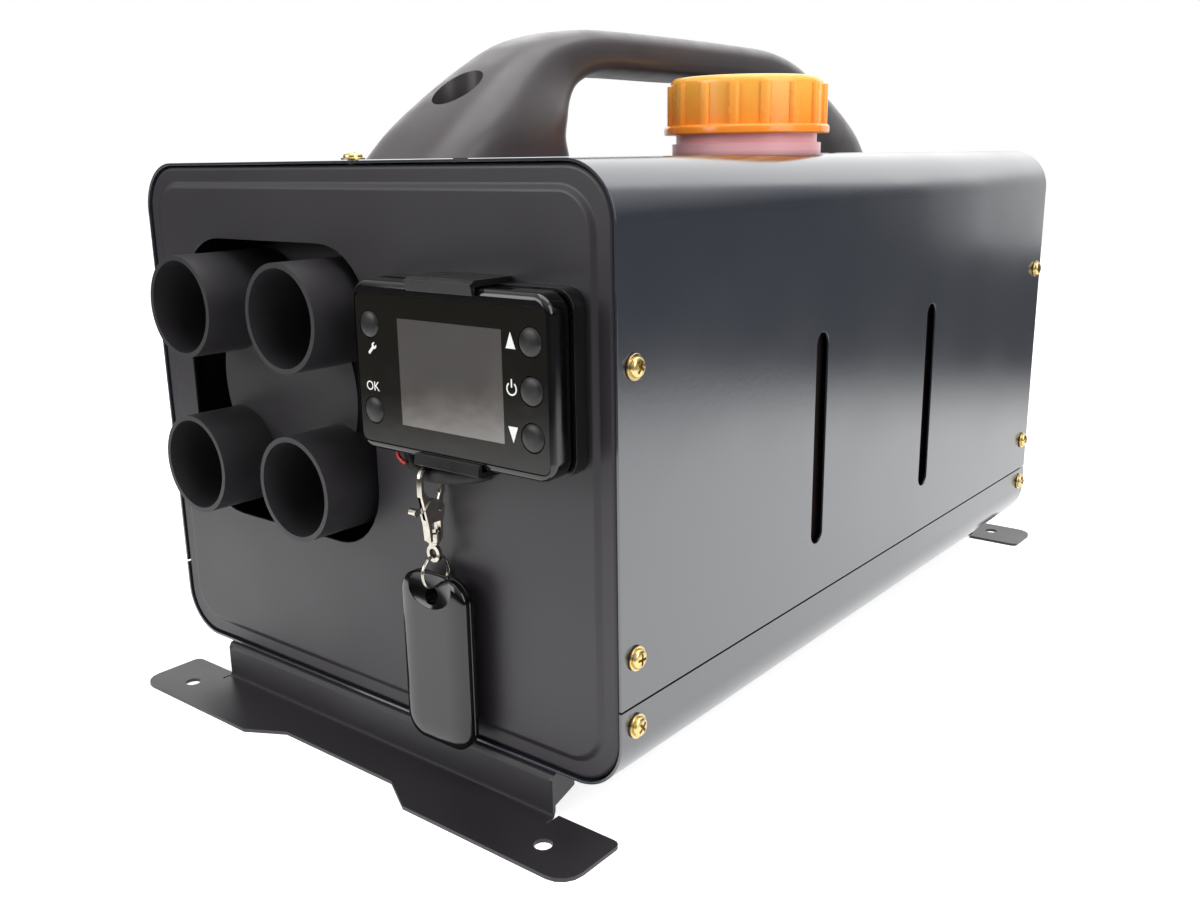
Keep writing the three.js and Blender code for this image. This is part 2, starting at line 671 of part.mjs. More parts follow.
function carryingHandle() {
  const [crest, arch] = handleCurves();
  const stations = 24;
  const sides = 16;
  const squareness = 0.63; // of a section: 1 is an ellipse and 0 a rectangle
  const bulge = (value) => Math.sign(value) * Math.abs(value) ** squareness;
  const flare = [0.1, 0.95]; // shares of the height between which the feet narrow to the grip
  const rings = Array.from({ length: stations + 1 }, (_, i) => {
    const [outer, inner] = [crest.getPoint(i / stations), arch.getPoint(i / stations)];
    const middle = outer.clone().add(inner).multiplyScalar(0.5);
    const half = outer.clone().sub(middle);
    const narrowing = THREE.MathUtils.smoothstep(outer.z / HANDLE_HEIGHT, ...flare);
    const reach = THREE.MathUtils.lerp(HANDLE_FOOT_WIDTH, HANDLE_GRIP_WIDTH, narrowing) / 2;
    return Array.from({ length: sides }, (_, j) => {
      const angle = (2 * Math.PI * j) / sides;
      const point = middle.clone().addScaledVector(half, -bulge(Math.sin(angle)));
      return [reach * bulge(Math.cos(angle)), point.y, point.z];
    });
  });
  const bores = [-1, 1].flatMap((side) => {
    const y = (side * HANDLE_SCREW_SPAN) / 2;
    return [
      rod("z", 0, y, HANDLE_COUNTERBORE / 2, HANDLE_SCREW_SEAT, HANDLE_HEIGHT, 20),
      rod("z", 0, y, HANDLE_SCREW_SHANK / 2 + SCREW_CLEARANCE, -5, HANDLE_HEIGHT),
    ];
  });
  return cut(loft(rings), ...bores);
}

// ---------------------------------------------------------------- outlet manifold and heater unit
// Local frame of the heater unit: x and z from its axis, y as the housing's.
function eachTube(make) {
  const reach = TUBE_SPACING / 2;
  return [-reach, reach].flatMap((x) => [-reach, reach].map((z) => make(x, z)));
}

function outletManifold() {
  const front = -HALF_LENGTH - TUBE_REACH;
  const face = DRUM_SETBACK - HALF_LENGTH;
  const wall = PLENUM_FRONT - HALF_LENGTH;
  const rear = wall + PLENUM_DEPTH;
  const radius = TUBE_DIAMETER / 2;
  const inside = CASE_SIZE + 2 * SEAT_GAP;
  const outside = inside + 2 * CASE_WALL;
  const plenum = prism(roundedRectangle(outside, outside, CASE_CORNER + CASE_WALL), "y", wall, rear);
  const hollow = roundedRectangle(inside, inside, CASE_CORNER + SEAT_GAP);
  return cut(
    join(
      plenum,
      rod("y", 0, 0, DRUM_DIAMETER / 2, face, wall + 1, 24),
      ...eachTube((x, z) => rod("y", x, z, radius, front, wall + 1, 20)),
    ),
    prism(hollow, "y", wall + MANIFOLD_WALL, rear + 1),
    rod("y", 0, 0, DRUM_DIAMETER / 2 - MANIFOLD_WALL, face + MANIFOLD_WALL, wall + MANIFOLD_WALL + 1, 24),
    ...eachTube((x, z) => rod("y", x, z, radius - TUBE_WALL, front - 1, wall + MANIFOLD_WALL + 1, 20)),
  );
}

function heaterCase() {
  const half = CASE_SIZE / 2;
  const front = PLENUM_FRONT + PLENUM_DEPTH - HALF_LENGTH - CASE_LAP;
  const rear = PANEL_INSIDE - SEAT_GAP;
  const duct = (inset) => roundedRectangle(CASE_SIZE - 2 * inset, CASE_SIZE - 2 * inset, CASE_CORNER - inset);
  const foot = FLOOR_OF_PAN + SEAT_GAP - HEATER_HEIGHT + LEG_SHEET / 2;
  const leg = (side) => {
    const track = [
      [side * (LEG_SPAN / 2), CASE_CORNER / 2 - half],
      [side * (LEG_SPAN / 2), foot],
      [side * (LEG_SPAN / 2 - LEG_FOOT), foot],
    ];
    return prism(bentSheet(track, LEG_SHEET, 3), "y", LEG_Y - LEG_LENGTH / 2, LEG_Y + LEG_LENGTH / 2);
  };
  return cut(
    join(prism(duct(0), "y", front, rear), leg(-1), leg(1)),
    prism(duct(CASE_WALL), "y", front - 1, rear + 1),
    rod("z", EXHAUST_X, EXHAUST_Y, EXHAUST_DIAMETER / 2 + SEAT_GAP, -half - 5, 0),
    rod("z", INTAKE_X, INTAKE_Y, INTAKE_DIAMETER / 2 - INTAKE_WALL, -half - 5, 0),
  ).add(rod("z", CASE_SPIGOT_X, CASE_SPIGOT_Y, HOSE_RADIUS, half - CASE_WALL / 2, half + SPIGOT_LENGTH, 10));
}

function heatExchanger() {
  const tip = CASE_SIZE / 2 - CASE_WALL - SEAT_GAP;
  const points = [];
  for (let i = 0; i < FIN_COUNT; i++) {
    const middle = (2 * Math.PI * i) / FIN_COUNT;
    const root = FIN_THICKNESS / 2 / EXCHANGER_CORE;
    const end = FIN_THICKNESS / 2 / tip;
    [[EXCHANGER_CORE, -root], [tip, -end], [tip, end], [EXCHANGER_CORE, root]].forEach(([r, turn]) =>
      points.push([r * Math.cos(middle + turn), r * Math.sin(middle + turn)]),
    );
  }
  const rear = EXCHANGER_FRONT + EXCHANGER_LENGTH;
  const stub = EXHAUST_DIAMETER / 2 - EXHAUST_WALL;
  const stubEnd = -CASE_SIZE / 2 - 6;
  return cut(
    join(
      prism(polygon(points), "y", EXCHANGER_FRONT, rear),
      rod("z", EXHAUST_X, EXHAUST_Y, EXHAUST_DIAMETER / 2, stubEnd, -EXCHANGER_BORE, 12),
    ),
    rod("y", 0, 0, EXCHANGER_BORE, EXCHANGER_FRONT + 8, rear + 1, 16),
    rod("z", EXHAUST_X, EXHAUST_Y, stub, stubEnd - 1, 0, 12),
  );
}

function burner() {
  const flangeFront = BURNER_REAR - FLANGE_SHEET;
  return cut(
    join(
      rod("y", 0, 0, BURNER_RADIUS, BURNER_REAR - BURNER_LENGTH, BURNER_REAR - 1, 16),
      rod("y", 0, 0, BURNER_FLANGE, flangeFront, BURNER_REAR, 16),
    ),
    rod("y", 0, 0, BURNER_RADIUS - BURNER_WALL, BURNER_REAR - BURNER_LENGTH - 1, flangeFront, 16),
    rod("y", 0, 0, 8, flangeFront - 1, BURNER_REAR + 1, 12),
    rod("y", 0, GLOW_PLUG_OFFSET, GLOW_PLUG_DIAMETER / 2 + SEAT_GAP, flangeFront - 1, BURNER_REAR + 1, 12),
  );
}

function glowPlug() {
  const seat = BURNER_REAR + SEAT_GAP;
  const radius = GLOW_PLUG_DIAMETER / 2;
  return join(
    rod("y", 0, GLOW_PLUG_OFFSET, radius, BURNER_REAR - 14, seat, 12),
    rod("y", 0, GLOW_PLUG_OFFSET, 0.5 * radius, BURNER_REAR - 38, BURNER_REAR - 13, 8),
    rod("y", 0, GLOW_PLUG_OFFSET, 1.6 * radius, seat, seat + 4, 6),
  );
}

function blowerMotor() {
  const size = CASE_SIZE - 2 * CASE_WALL - 2 * SEAT_GAP;
  const window = size / 2 - MOTOR_RADIUS / 2 - 4;
  const plateEnd = MOTOR_FRONT + MOTOR_PLATE;
  const windows = [-1, 1].flatMap((x) =>
    [-1, 1].map((z) => rod("y", x * 0.84 * window, z * 0.84 * window, 11, MOTOR_FRONT - 1, plateEnd + 1, 8)),
  );
  const cup = cut(
    rod("y", 0, 0, BLOWER_CUP_RADIUS - 10, BURNER_REAR + 5, MOTOR_FRONT + 1, 16),
    rod("y", 0, 0, IMPELLER_RADIUS - 6, BURNER_REAR + 4, MOTOR_FRONT, 16),
  );
  return cut(
    join(
      prism(roundedRectangle(size, size, CASE_CORNER - CASE_WALL), "y", MOTOR_FRONT, plateEnd),
      rod("y", 0, 0, MOTOR_RADIUS, MOTOR_FRONT, MOTOR_FRONT + MOTOR_LENGTH, 16),
      rod("y", 0, 0, MOTOR_RADIUS / 3, MOTOR_FRONT, MOTOR_FRONT + MOTOR_LENGTH + 5, 12),
      cup,
    ),
    ...windows,
    rod("y", 0, 0, SHAFT_RADIUS + SEAT_GAP, MOTOR_FRONT - 1, MOTOR_FRONT + MOTOR_LENGTH + 6, 12),
  );
}

function bladedWheel(hub, depth, front, disc, blades) {
  return cut(
    join(rod("y", 0, 0, hub, front, front + depth, 12), ...disc, ...blades),
    rod("y", 0, 0, SHAFT_RADIUS + SEAT_GAP, front - 5, front + depth + 5, 12),
  );
}

function turnedCopies(solid, count) {
  return Array.from({ length: count }, (_, i) => solid.rotate([0, (360 * i) / count, 0]));
}

// One blade of the hot-air fan, from the hub out, its pitch easing towards the tip.
function fanBlade() {
  const sections = 4;
  const chord = 0.52 * FAN_RADIUS;
  const rings = Array.from({ length: sections + 1 }, (_, i) => {
    const share = i / sections;
    const radius = FAN_HUB_RADIUS - 1 + share * (FAN_RADIUS - FAN_HUB_RADIUS + 1);
    const pitch = THREE.MathUtils.degToRad(50 - 22 * share);
    const width = chord * (0.75 + 0.25 * share);
    const corners = [[-width / 2, -0.8], [width / 2, -0.5], [width / 2, 0.5], [-width / 2, 0.8]];
    return corners.map(([u, v]) => [
      u * Math.cos(pitch) - v * Math.sin(pitch),
      FAN_Y + FAN_DEPTH / 2 + u * Math.sin(pitch) + v * Math.cos(pitch),
      radius,
    ]);
  });
  return loft(rings);
}

function fanWheel() {
  return bladedWheel(FAN_HUB_RADIUS, FAN_DEPTH, FAN_Y, [], turnedCopies(fanBlade(), FAN_BLADES));
}

function combustionImpeller() {
  const front = MOTOR_FRONT - IMPELLER_DEPTH - 3;
  const radius = IMPELLER_RADIUS - 8;
  const disc = rod("y", 0, 0, radius, front + IMPELLER_DEPTH - 1.5, front + IMPELLER_DEPTH, 16);
  const blade = box(-0.6, 0.6, front, front + IMPELLER_DEPTH - 1, 5, radius - 0.5);
  return bladedWheel(6, IMPELLER_DEPTH, front, [disc], turnedCopies(blade, IMPELLER_BLADES));
}

function rotorShaft() {
  const front = MOTOR_FRONT - IMPELLER_DEPTH - 5;
  return rod("y", 0, 0, SHAFT_RADIUS, front, FAN_Y + FAN_DEPTH + 2, 12);
}

function controlBoard() {
  const ceiling = CASE_SIZE / 2 - CASE_WALL - SEAT_GAP;
  const half = BOARD_WIDTH / 2;
  const y0 = MOTOR_FRONT + 12;
  const y1 = y0 + BOARD_LENGTH;
  const top = ceiling - BOARD_GAP;
  const bottom = top - BOARD_THICKNESS;
  const postX = half - BOARD_POST_INSET;
  const postY = [y0 + BOARD_POST_INSET, y1 - BOARD_POST_INSET];
  const posts = [-postX, postX].flatMap((x) => postY.map((y) => rod("z", x, y, 2.4, top - 0.5, ceiling, 8)));
  return join(
    box(-half, half, y0, y1, bottom, top),
    box(-15, 0, y0 + 6, y0 + 24, bottom - 10, bottom + 0.5),
    box(4, 16, y0 + 8, y0 + 18, bottom - 7, bottom + 0.5),
    box(-12, 14, y1 - 20, y1 - 6, bottom - 6, bottom + 0.5),
    ...posts,
  );
}

// A pipe from under the heater's case, down and out through the rear panel.
function rearPipe(x, y, top, diameter, wall) {
  const low = PIPE_HEIGHT - HEATER_HEIGHT;
  const bend = 20;
  const end = HALF_LENGTH + PIPE_REACH;
  const steps = 4;
  // One ring of the pipe, on a plane turned about the bend's axis; overrun lengthens the bore.
  const ring = (radius, along, height, turn) =>
    regularPolygon(radius, 10).map(([a, b]) => [
      x + a,
      along - b * Math.cos(turn),
      height - b * Math.sin(turn),
    ]);
  const body = (radius, overrun) =>
    loft([
      ring(radius, y, top + overrun, 0),
      ...Array.from({ length: steps + 1 }, (_, i) => {
        const turn = ((Math.PI / 2) * i) / steps;
        return ring(radius, y + bend * (1 - Math.cos(turn)), low + bend * (1 - Math.sin(turn)), turn);
      }),
      ring(radius, end + overrun, low, Math.PI / 2),
    ]);
  return cut(body(diameter / 2, 0), body(diameter / 2 - wall, 1));
}

// ---------------------------------------------------------------- fuel system
// Local frame of the tank: x and y from the neck's axis, z over the floor.
function fuelTank() {
  const block = (inset, bevel) => {
    const corner = TANK_CORNER - inset;
    const shape = roundedRectangle(TANK_WIDTH - 2 * inset, TANK_LENGTH - 2 * inset, corner);
    return prism(shape, "z", TANK_BOTTOM + inset, TANK_BOTTOM + TANK_HEIGHT - inset, bevel, 1);
  };
  const top = TANK_BOTTOM + TANK_HEIGHT;
  const spigotZ = TANK_BOTTOM + SPIGOT_HEIGHT;
  const back = TANK_LENGTH / 2;
  const shell = join(
    block(0, TANK_EDGE),
    rod("z", 0, 0, NECK_COLLAR_RADIUS, top - 5, NECK_COLLAR_TOP, 24),
    rod("z", 0, 0, NECK_RADIUS, top - 5, NECK_TOP, 24),
    rod("y", PUMP_X - TANK_X - 10, spigotZ, SPIGOT_RADIUS, back - 2, back + SPIGOT_LENGTH, 12),
  );
  return cut(
    shell,
    block(TANK_WALL, TANK_EDGE - TANK_WALL),
    rod("z", 0, 0, NECK_BORE, top - 10, NECK_TOP + 1, 24),
    rod("y", PUMP_X - TANK_X - 10, spigotZ, HOSE_BORE, back - 10, back + SPIGOT_LENGTH + 1, 8),
  );
}

function fuelCap() {
  const bore = NECK_RADIUS + CAP_CLEARANCE;
  const ceiling = NECK_TOP + SEAL_THICKNESS + 2 * SEAT_GAP;
  const brimTop = CAP_BOTTOM + CAP_BRIM_HEIGHT;
  const body = revolve(
    [
      [bore, CAP_BOTTOM],
      [CAP_BRIM_RADIUS, CAP_BOTTOM],
      [CAP_BRIM_RADIUS, brimTop - 1],
      [CAP_BRIM_RADIUS - 0.8, brimTop],
      [CAP_RADIUS, brimTop + 0.4],
      [CAP_RADIUS, CAP_TOP - 2.5],
      [CAP_RADIUS - 2.5, CAP_TOP],
      [0, CAP_TOP],
      [0, ceiling],
      [bore, ceiling],
      [bore, CAP_BOTTOM],
    ],
    32,
  );
  const rim = CAP_RADIUS + CAP_RIB_DEPTH;
  const half = CAP_RIB_WIDTH / 2;
  const section = polygon([
    [CAP_RADIUS - 1, -half],
    [rim, 0.4 - half],
    [rim, half - 0.4],
    [CAP_RADIUS - 1, half],
  ]);
  const rib = prism(section, "z", brimTop - 0.5, CAP_TOP - CAP_RIB_DROP);
  const ribs = Array.from({ length: CAP_RIBS }, (_, i) => rib.rotate([0, 0, ((i + 0.5) * 360) / CAP_RIBS]));
  return join(body, ...ribs);
}

function capSeal() {
  const bottom = NECK_TOP + SEAT_GAP;
  return rod("z", 0, 0, NECK_RADIUS, bottom, bottom + SEAL_THICKNESS, 24);
}

function fuelPump() {
  const top = PUMP_BOTTOM + PUMP_LENGTH;
  return join(
    rod("z", 0, 0, PUMP_RADIUS, PUMP_BOTTOM + 6, top - 6, 20),
    rod("z", 0, 0, 0.7 * PUMP_RADIUS, PUMP_BOTTOM, top, 6),
    rod("z", 0, 0, NOZZLE_RADIUS, PUMP_BOTTOM - PUMP_NOZZLE, top + PUMP_NOZZLE, 10),
  );
}

// Rubber sleeve round the pump, on an arm to the cover's right wall.
function pumpClamp() {
  const bottom = PUMP_BOTTOM + PUMP_LENGTH / 2 - CLAMP_HEIGHT / 2;
  const outside = PUMP_RADIUS + SEAT_GAP + CLAMP_WALL;
  const wall = HALF_WIDTH - COVER_SHEET - SEAT_GAP - PUMP_X;
  return cut(
    join(
      rod("z", 0, 0, outside, bottom, bottom + CLAMP_HEIGHT, 20),
      box(outside - 2, wall, -4, 4, bottom, bottom + CLAMP_HEIGHT),
      box(wall - 2, wall, -12, 12, bottom - 4, bottom + CLAMP_HEIGHT + 4),
    ),
    rod("z", 0, 0, PUMP_RADIUS + SEAT_GAP, bottom - 1, bottom + CLAMP_HEIGHT + 1, 20),
  );
}

function suctionHose() {
  const start = TANK_Y + TANK_LENGTH / 2 + SPIGOT_LENGTH + SEAT_GAP;
  const low = TANK_BOTTOM + SPIGOT_HEIGHT;
  const x = PUMP_X - 10;
  const end = PUMP_BOTTOM - PUMP_NOZZLE - SEAT_GAP;
  const path = [
    [x, start, low],
    [x, start + 6, low],
    [x + 2, start + 20, low],
    [x + 6, PUMP_Y - 8, low + 1],
    [PUMP_X, PUMP_Y, end - 8],
    [PUMP_X, PUMP_Y, end],
  ];
  return tube(path, HOSE_RADIUS, 8, 8);
}

function deliveryHose() {
  const start = PUMP_BOTTOM + PUMP_LENGTH + PUMP_NOZZLE + SEAT_GAP;
  const end = HEATER_HEIGHT + CASE_SIZE / 2 + SPIGOT_LENGTH + SEAT_GAP;
  const room = HOUSING_TOP - COVER_SHEET - end; // from the spigot's tip to the cover
  const crest = end + 0.45 * room;
  const [x, y] = [HEATER_X + CASE_SPIGOT_X, CASE_SPIGOT_Y];
  const path = [
    [PUMP_X, PUMP_Y, start],
    [PUMP_X, PUMP_Y, start + 8],
    [PUMP_X - 8, PUMP_Y - 4, start + 35],
    [PUMP_X - 45, PUMP_Y - 22, end + 0.1 * room],
    [x + 25, y + 40, crest],
    [x + 2, y + 6, crest],
    [x, y, end + 0.2 * room],
    [x, y, end],
  ];
  return tube(path, HOSE_RADIUS, 8, 12);
}

// Round two-pin inlet for the power lead, let into the rear panel from outside.
function powerInlet() {
  const face = PANEL_FRONT + SEAT_GAP;
  const radius = INLET_RADIUS;
  return cut(
    join(
      rod("y", 0, 0, radius, face, face + 3),
      rod("y", 0, 0, radius - 1.5, face - 14, face + 9),
    ),
    rod("y", 0, 0, radius - 3, face - 6, face + 10, 16),
  ).add(join(...[-3, 3].map((x) => rod("y", x, 0, 0.9, face - 7, face + 6, 6))));
}

// ---------------------------------------------------------------- controller
// Local frame: x and z from the middle of the bezel, y = 0 at its front face, +y into the housing.
const LENS_BACK = LENS_SETBACK + LENS_THICKNESS;
const SHELF_FRONT = LENS_BACK + SEAT_GAP;
const SHELF_BACK = SHELF_FRONT + SHELF_THICKNESS;
const HOLDER_BACK = CONTROLLER_FACE + HALF_LENGTH - PANEL_FRONT - SEAT_GAP;
const BUTTONS = {
  button_settings: [-BUTTON_REACH, BUTTON_RISE + 0.5],
  button_ok: [-BUTTON_REACH, -BUTTON_RISE],
  button_up: [BUTTON_REACH, BUTTON_RISE + 0.5],
  button_power: [BUTTON_REACH, 0],
  button_down: [BUTTON_REACH, -BUTTON_RISE],
};

function buttonHoles(radius, from, to) {
  return Object.values(BUTTONS).map(([x, z]) => rod("y", x, z - LENS_DROP, radius, from, to));
}

function controllerBezel() {
  const shape = (inset) =>
    roundedRectangle(BEZEL_WIDTH - 2 * inset, BEZEL_HEIGHT - 2 * inset, BEZEL_CORNER - inset);
  const recess = roundedRectangle(LENS_WIDTH + 2 * SEAT_GAP, LENS_HEIGHT + 2 * SEAT_GAP, 3, 0, -LENS_DROP);
  const window = [SCREEN_WIDTH + 2 * SEAT_GAP, SCREEN_HEIGHT + 2 * SEAT_GAP];
  return cut(
    prism(shape(0), "y", 0, BEZEL_DEPTH, 1.6),
    prism(recess, "y", -1, SHELF_FRONT),
    prism(shape(BEZEL_WALL), "y", SHELF_BACK, BEZEL_DEPTH + 1),
    prism(roundedRectangle(...window, 1, SCREEN_X, -LENS_DROP), "y", 0, SHELF_BACK + 1, 0, 1),
    ...buttonHoles(BUTTON_RADIUS + BUTTON_CLEARANCE, 0, SHELF_BACK + 1),
  );
}

function displayLens() {
  const outline = roundedRectangle(LENS_WIDTH, LENS_HEIGHT, 3, 0, -LENS_DROP);
  const plate = prism(outline, "y", LENS_SETBACK, LENS_BACK);
  return cut(plate, ...buttonHoles(BUTTON_RADIUS + BUTTON_CLEARANCE, -1, LENS_BACK + 1));
}

function screen() {
  const shape = roundedRectangle(SCREEN_WIDTH, SCREEN_HEIGHT, 0.8, SCREEN_X, -LENS_DROP);
  return prism(shape, "y", SHELF_FRONT, SHELF_FRONT + SCREEN_THICKNESS, 0, 1);
}

function button(x, z) {
  const flange = SHELF_BACK + SEAT_GAP;
  const crown = LENS_SETBACK - BUTTON_DOME;
  const profile = [
    [0, -flange - BUTTON_FLANGE],
    [BUTTON_RADIUS + 1, -flange - BUTTON_FLANGE],
    [BUTTON_RADIUS + 1, -flange],
    [BUTTON_RADIUS, -flange],
    [BUTTON_RADIUS, -LENS_SETBACK - 0.2],
    [0.7 * BUTTON_RADIUS, -crown - 0.25],
    [0, -crown],
  ];
  return revolve(profile, 12).rotate([90, 0, 0]).translate([x, 0, z - LENS_DROP]);
}

// The controller's rear half, a cup that closes the back of the bezel.
function controllerHousing() {
  const inset = BEZEL_WALL + SEAT_GAP;
  const shape = (extra) =>
    roundedRectangle(
      BEZEL_WIDTH - 2 * (inset + extra),
      BEZEL_HEIGHT - 2 * (inset + extra),
      BEZEL_CORNER - inset - extra,
    );
  const front = SHELF_BACK + SEAT_GAP + BUTTON_FLANGE + BUTTON_TRAVEL;
  const rear = HOLDER_BACK - HOLDER_WALL - SEAT_GAP;
  return cut(
    prism(shape(0), "y", front, rear, 0),
    prism(shape(HOUSING_WALL), "y", front - 1, rear - HOUSING_WALL),
  );
}

// A shallow tray against the panel, whose two hooks reach over the bezel's face.
function controllerHolder() {
  const shape = (inset) =>
    roundedRectangle(BEZEL_WIDTH + 1 - 2 * inset, BEZEL_HEIGHT + 1 - 2 * inset, BEZEL_CORNER - inset);
  const tray = cut(
    prism(shape(0), "y", HOLDER_BACK - HOLDER_DEPTH, HOLDER_BACK),
    prism(shape(HOLDER_WALL - 0.6), "y", HOLDER_BACK - HOLDER_DEPTH - 1, HOLDER_BACK - HOLDER_WALL),
  );
  const hook = (side) => {
    const near = BEZEL_HEIGHT / 2 + SEAT_GAP;
    const lip = -SEAT_GAP;
    const outline = polygon([
      [HOLDER_BACK, near],
      [HOLDER_BACK, near + CLIP_THICKNESS],
      [lip, near + CLIP_THICKNESS],
      [lip - CLIP_THICKNESS, near + CLIP_THICKNESS - 1],
      [lip - CLIP_THICKNESS + 0.6, near - CLIP_LIP],
      [lip, near - CLIP_LIP],
      [lip, near],
    ].map(([y, z]) => [y, side * z]));
    return prism(outline, "x", -CLIP_WIDTH / 2, CLIP_WIDTH / 2);
  };
  return join(tray, hook(1), hook(-1));
}

// ---------------------------------------------------------------- cable, clasp, ring and remote
// Slack of the controller's cable, from the tray round to the panel; the clasp hangs on it.
function controlCable() {
  const tray = CONTROLLER_HEIGHT - BEZEL_HEIGHT / 2 - 0.5 - SEAT_GAP;
  const back = -PANEL_FRONT - SEAT_GAP;
  const low = CABLE_HEIGHT;
  const trayY = HOLDER_BACK - HOLDER_DEPTH / 2 - CONTROLLER_FACE - HALF_LENGTH;
  const path = [
    [CHAIN_X - 14, trayY, tray],
    [CHAIN_X - 14, trayY, tray - 3],
    [CHAIN_X - 11, CHAIN_Y + 2.2, low + 2],
    [CHAIN_X - 6, CHAIN_Y + 0.2, low + 0.2],
    [CHAIN_X, CHAIN_Y, low],
    [CHAIN_X + 6, CHAIN_Y + 0.2, low + 0.2],
    [CHAIN_X + 14, CHAIN_Y + 1, low + 1],
    [CHAIN_X + 20, back - 4, low + 2],
    [CHAIN_X + 21, back - 1.5, low + 2.2],
    [CHAIN_X + 21, back, low + 2.2],
  ];
  return tube(path, CABLE_RADIUS, 8, 14);
}

// The pieces below hang in the frame of the clasp: the cable's centre is at 0, 0, 0 and z points up.
const ARCH_RADIUS = CABLE_RADIUS + SEAT_GAP + 1.3; // inside of the hook
const ARCH_CENTRE = CABLE_RADIUS + SEAT_GAP - ARCH_RADIUS;

function claspBody() {
  const outer = ARCH_RADIUS + HOOK_WIRE;
  const hook = new THREE.Shape();
  hook.moveTo(-3, -18);
  hook.lineTo(-4.8, -13);
  hook.lineTo(-outer, -6.5);
  hook.absarc(0, ARCH_CENTRE, outer, Math.PI, 0, true);
  hook.lineTo(outer, ARCH_CENTRE - 1.2);
  hook.lineTo(ARCH_RADIUS, ARCH_CENTRE - 1.2);
  hook.absarc(0, ARCH_CENTRE, ARCH_RADIUS, 0, Math.PI);
  hook.lineTo(-ARCH_RADIUS, -5.2);
  hook.lineTo(-1.6, -8);
  hook.lineTo(-0.6, -13);
  hook.lineTo(-0.6, -18);
  const cheeks = 2 * CLASP_CHEEK + TRIGGER_THICKNESS + 2 * LINK_GAP;
  const plate = polygon([
    [-3, -24.5],
    [-3.6, -18],
    [-5, -12],
    [-1.8, -8.6],
    [2, -9.2],
    [4.6, -11.5],
    [4.4, -15],
    [3.4, -18],
    [3, -24.5],
  ]);
  const slot = (TRIGGER_THICKNESS + 2 * LINK_GAP) / 2;
  return cut(
    join(
      prism(hook, "x", -HOOK_THICKNESS / 2, HOOK_THICKNESS / 2, 0.5, 3),
      prism(plate, "x", -cheeks / 2, cheeks / 2),
      rod("z", 0, 0, 2.7, -25, -21.5, 12),
    ),
    box(-slot, slot, -12, 12, -16.2, -7),
    box(-5, 5, -2.1, 2.1, -21.8, -17.4),
    rod("z", 0, 0, 1.25, -26, -21, 10),
    rod("x", ...TRIGGER_PIVOT, 0.75, -5, 5, 10),
  );
}

// Sprung lever: its thumb piece is in front, its arm closes the hook behind, and it carries its rivet.
function claspTrigger() {
  const [pivot, height] = TRIGGER_PIVOT;
  const outer = ARCH_RADIUS + HOOK_WIRE;
  const tip = ARCH_CENTRE - 1.2 - LINK_GAP;
  const lever = polygon([
    [-8.2, height + 0.4],
    [-8.2, height + 2.2],
    [-2, height + 2.6],
    [pivot + 0.6, height + 3.4],
    [ARCH_RADIUS + 0.2, -6],
    [ARCH_RADIUS + 0.4, tip],
    [outer - 0.3, tip - TRIGGER_SLOPE],
    [outer - 0.3, -6.6],
    [pivot + 1.8, height - 1],
    [pivot - 1, height - 1.6],
    [-4, height - 0.2],
  ]);
  const arm = polygon([
    [ARCH_RADIUS - 0.6, -7.4],
    [ARCH_RADIUS + 0.4, tip],
    [outer - 0.3, tip - TRIGGER_SLOPE],
    [outer - 0.5, -7.4],
  ]);
  const cheeks = 2 * CLASP_CHEEK + TRIGGER_THICKNESS + 2 * LINK_GAP;
  return join(
    prism(lever, "x", -TRIGGER_THICKNESS / 2, TRIGGER_THICKNESS / 2),
    prism(arm, "x", -HOOK_THICKNESS / 2 + 0.2, HOOK_THICKNESS / 2 - 0.2),
    rod("x", -8.8, height + 1.3, 1.5, -1.7, 1.7, 10),
    rod("x", ...TRIGGER_PIVOT, 0.55, -cheeks / 2 - 0.3, cheeks / 2 + 0.3, 8),
  );
}

// Swivel eye: a head inside the clasp's window, a stem through its collar and a loop below.
function swivelEye() {
  const outer = new THREE.Shape().absarc(0, -EYE_DROP, EYE_RADIUS, 0, 2 * Math.PI);
  outer.holes.push(new THREE.Path().absarc(0, -EYE_DROP, EYE_RADIUS - EYE_WIRE, 0, 2 * Math.PI));
  const shoulder = -25 - SEAT_GAP;
  return join(
    prism(outer, "y", -0.8, 0.8, 0, 6),
    rod("z", 0, 0, 1, -EYE_DROP + EYE_RADIUS - 0.6, -21, 10),
    rod("z", 0, 0, 2, shoulder - 0.9, shoulder, 12),
    rod("z", 0, 0, 1.8, -21.3, -20.1, 10),
  );
}

const RING_CENTRE = -EYE_DROP - EYE_RADIUS + EYE_WIRE + LINK_GAP + RING_WIRE - RING_RADIUS;

function splitRing() {
  const geometry = new THREE.TorusGeometry(RING_RADIUS, RING_WIRE, 6, 18);
  return solidOf(geometry.rotateY(Math.PI / 2).translate(0, 0, RING_CENTRE));
}

const REMOTE_HOLE_CENTRE = RING_CENTRE - RING_RADIUS + RING_WIRE + LINK_GAP - REMOTE_HOLE;
const REMOTE_TOP = REMOTE_HOLE_CENTRE + REMOTE_HOLE_DROP;

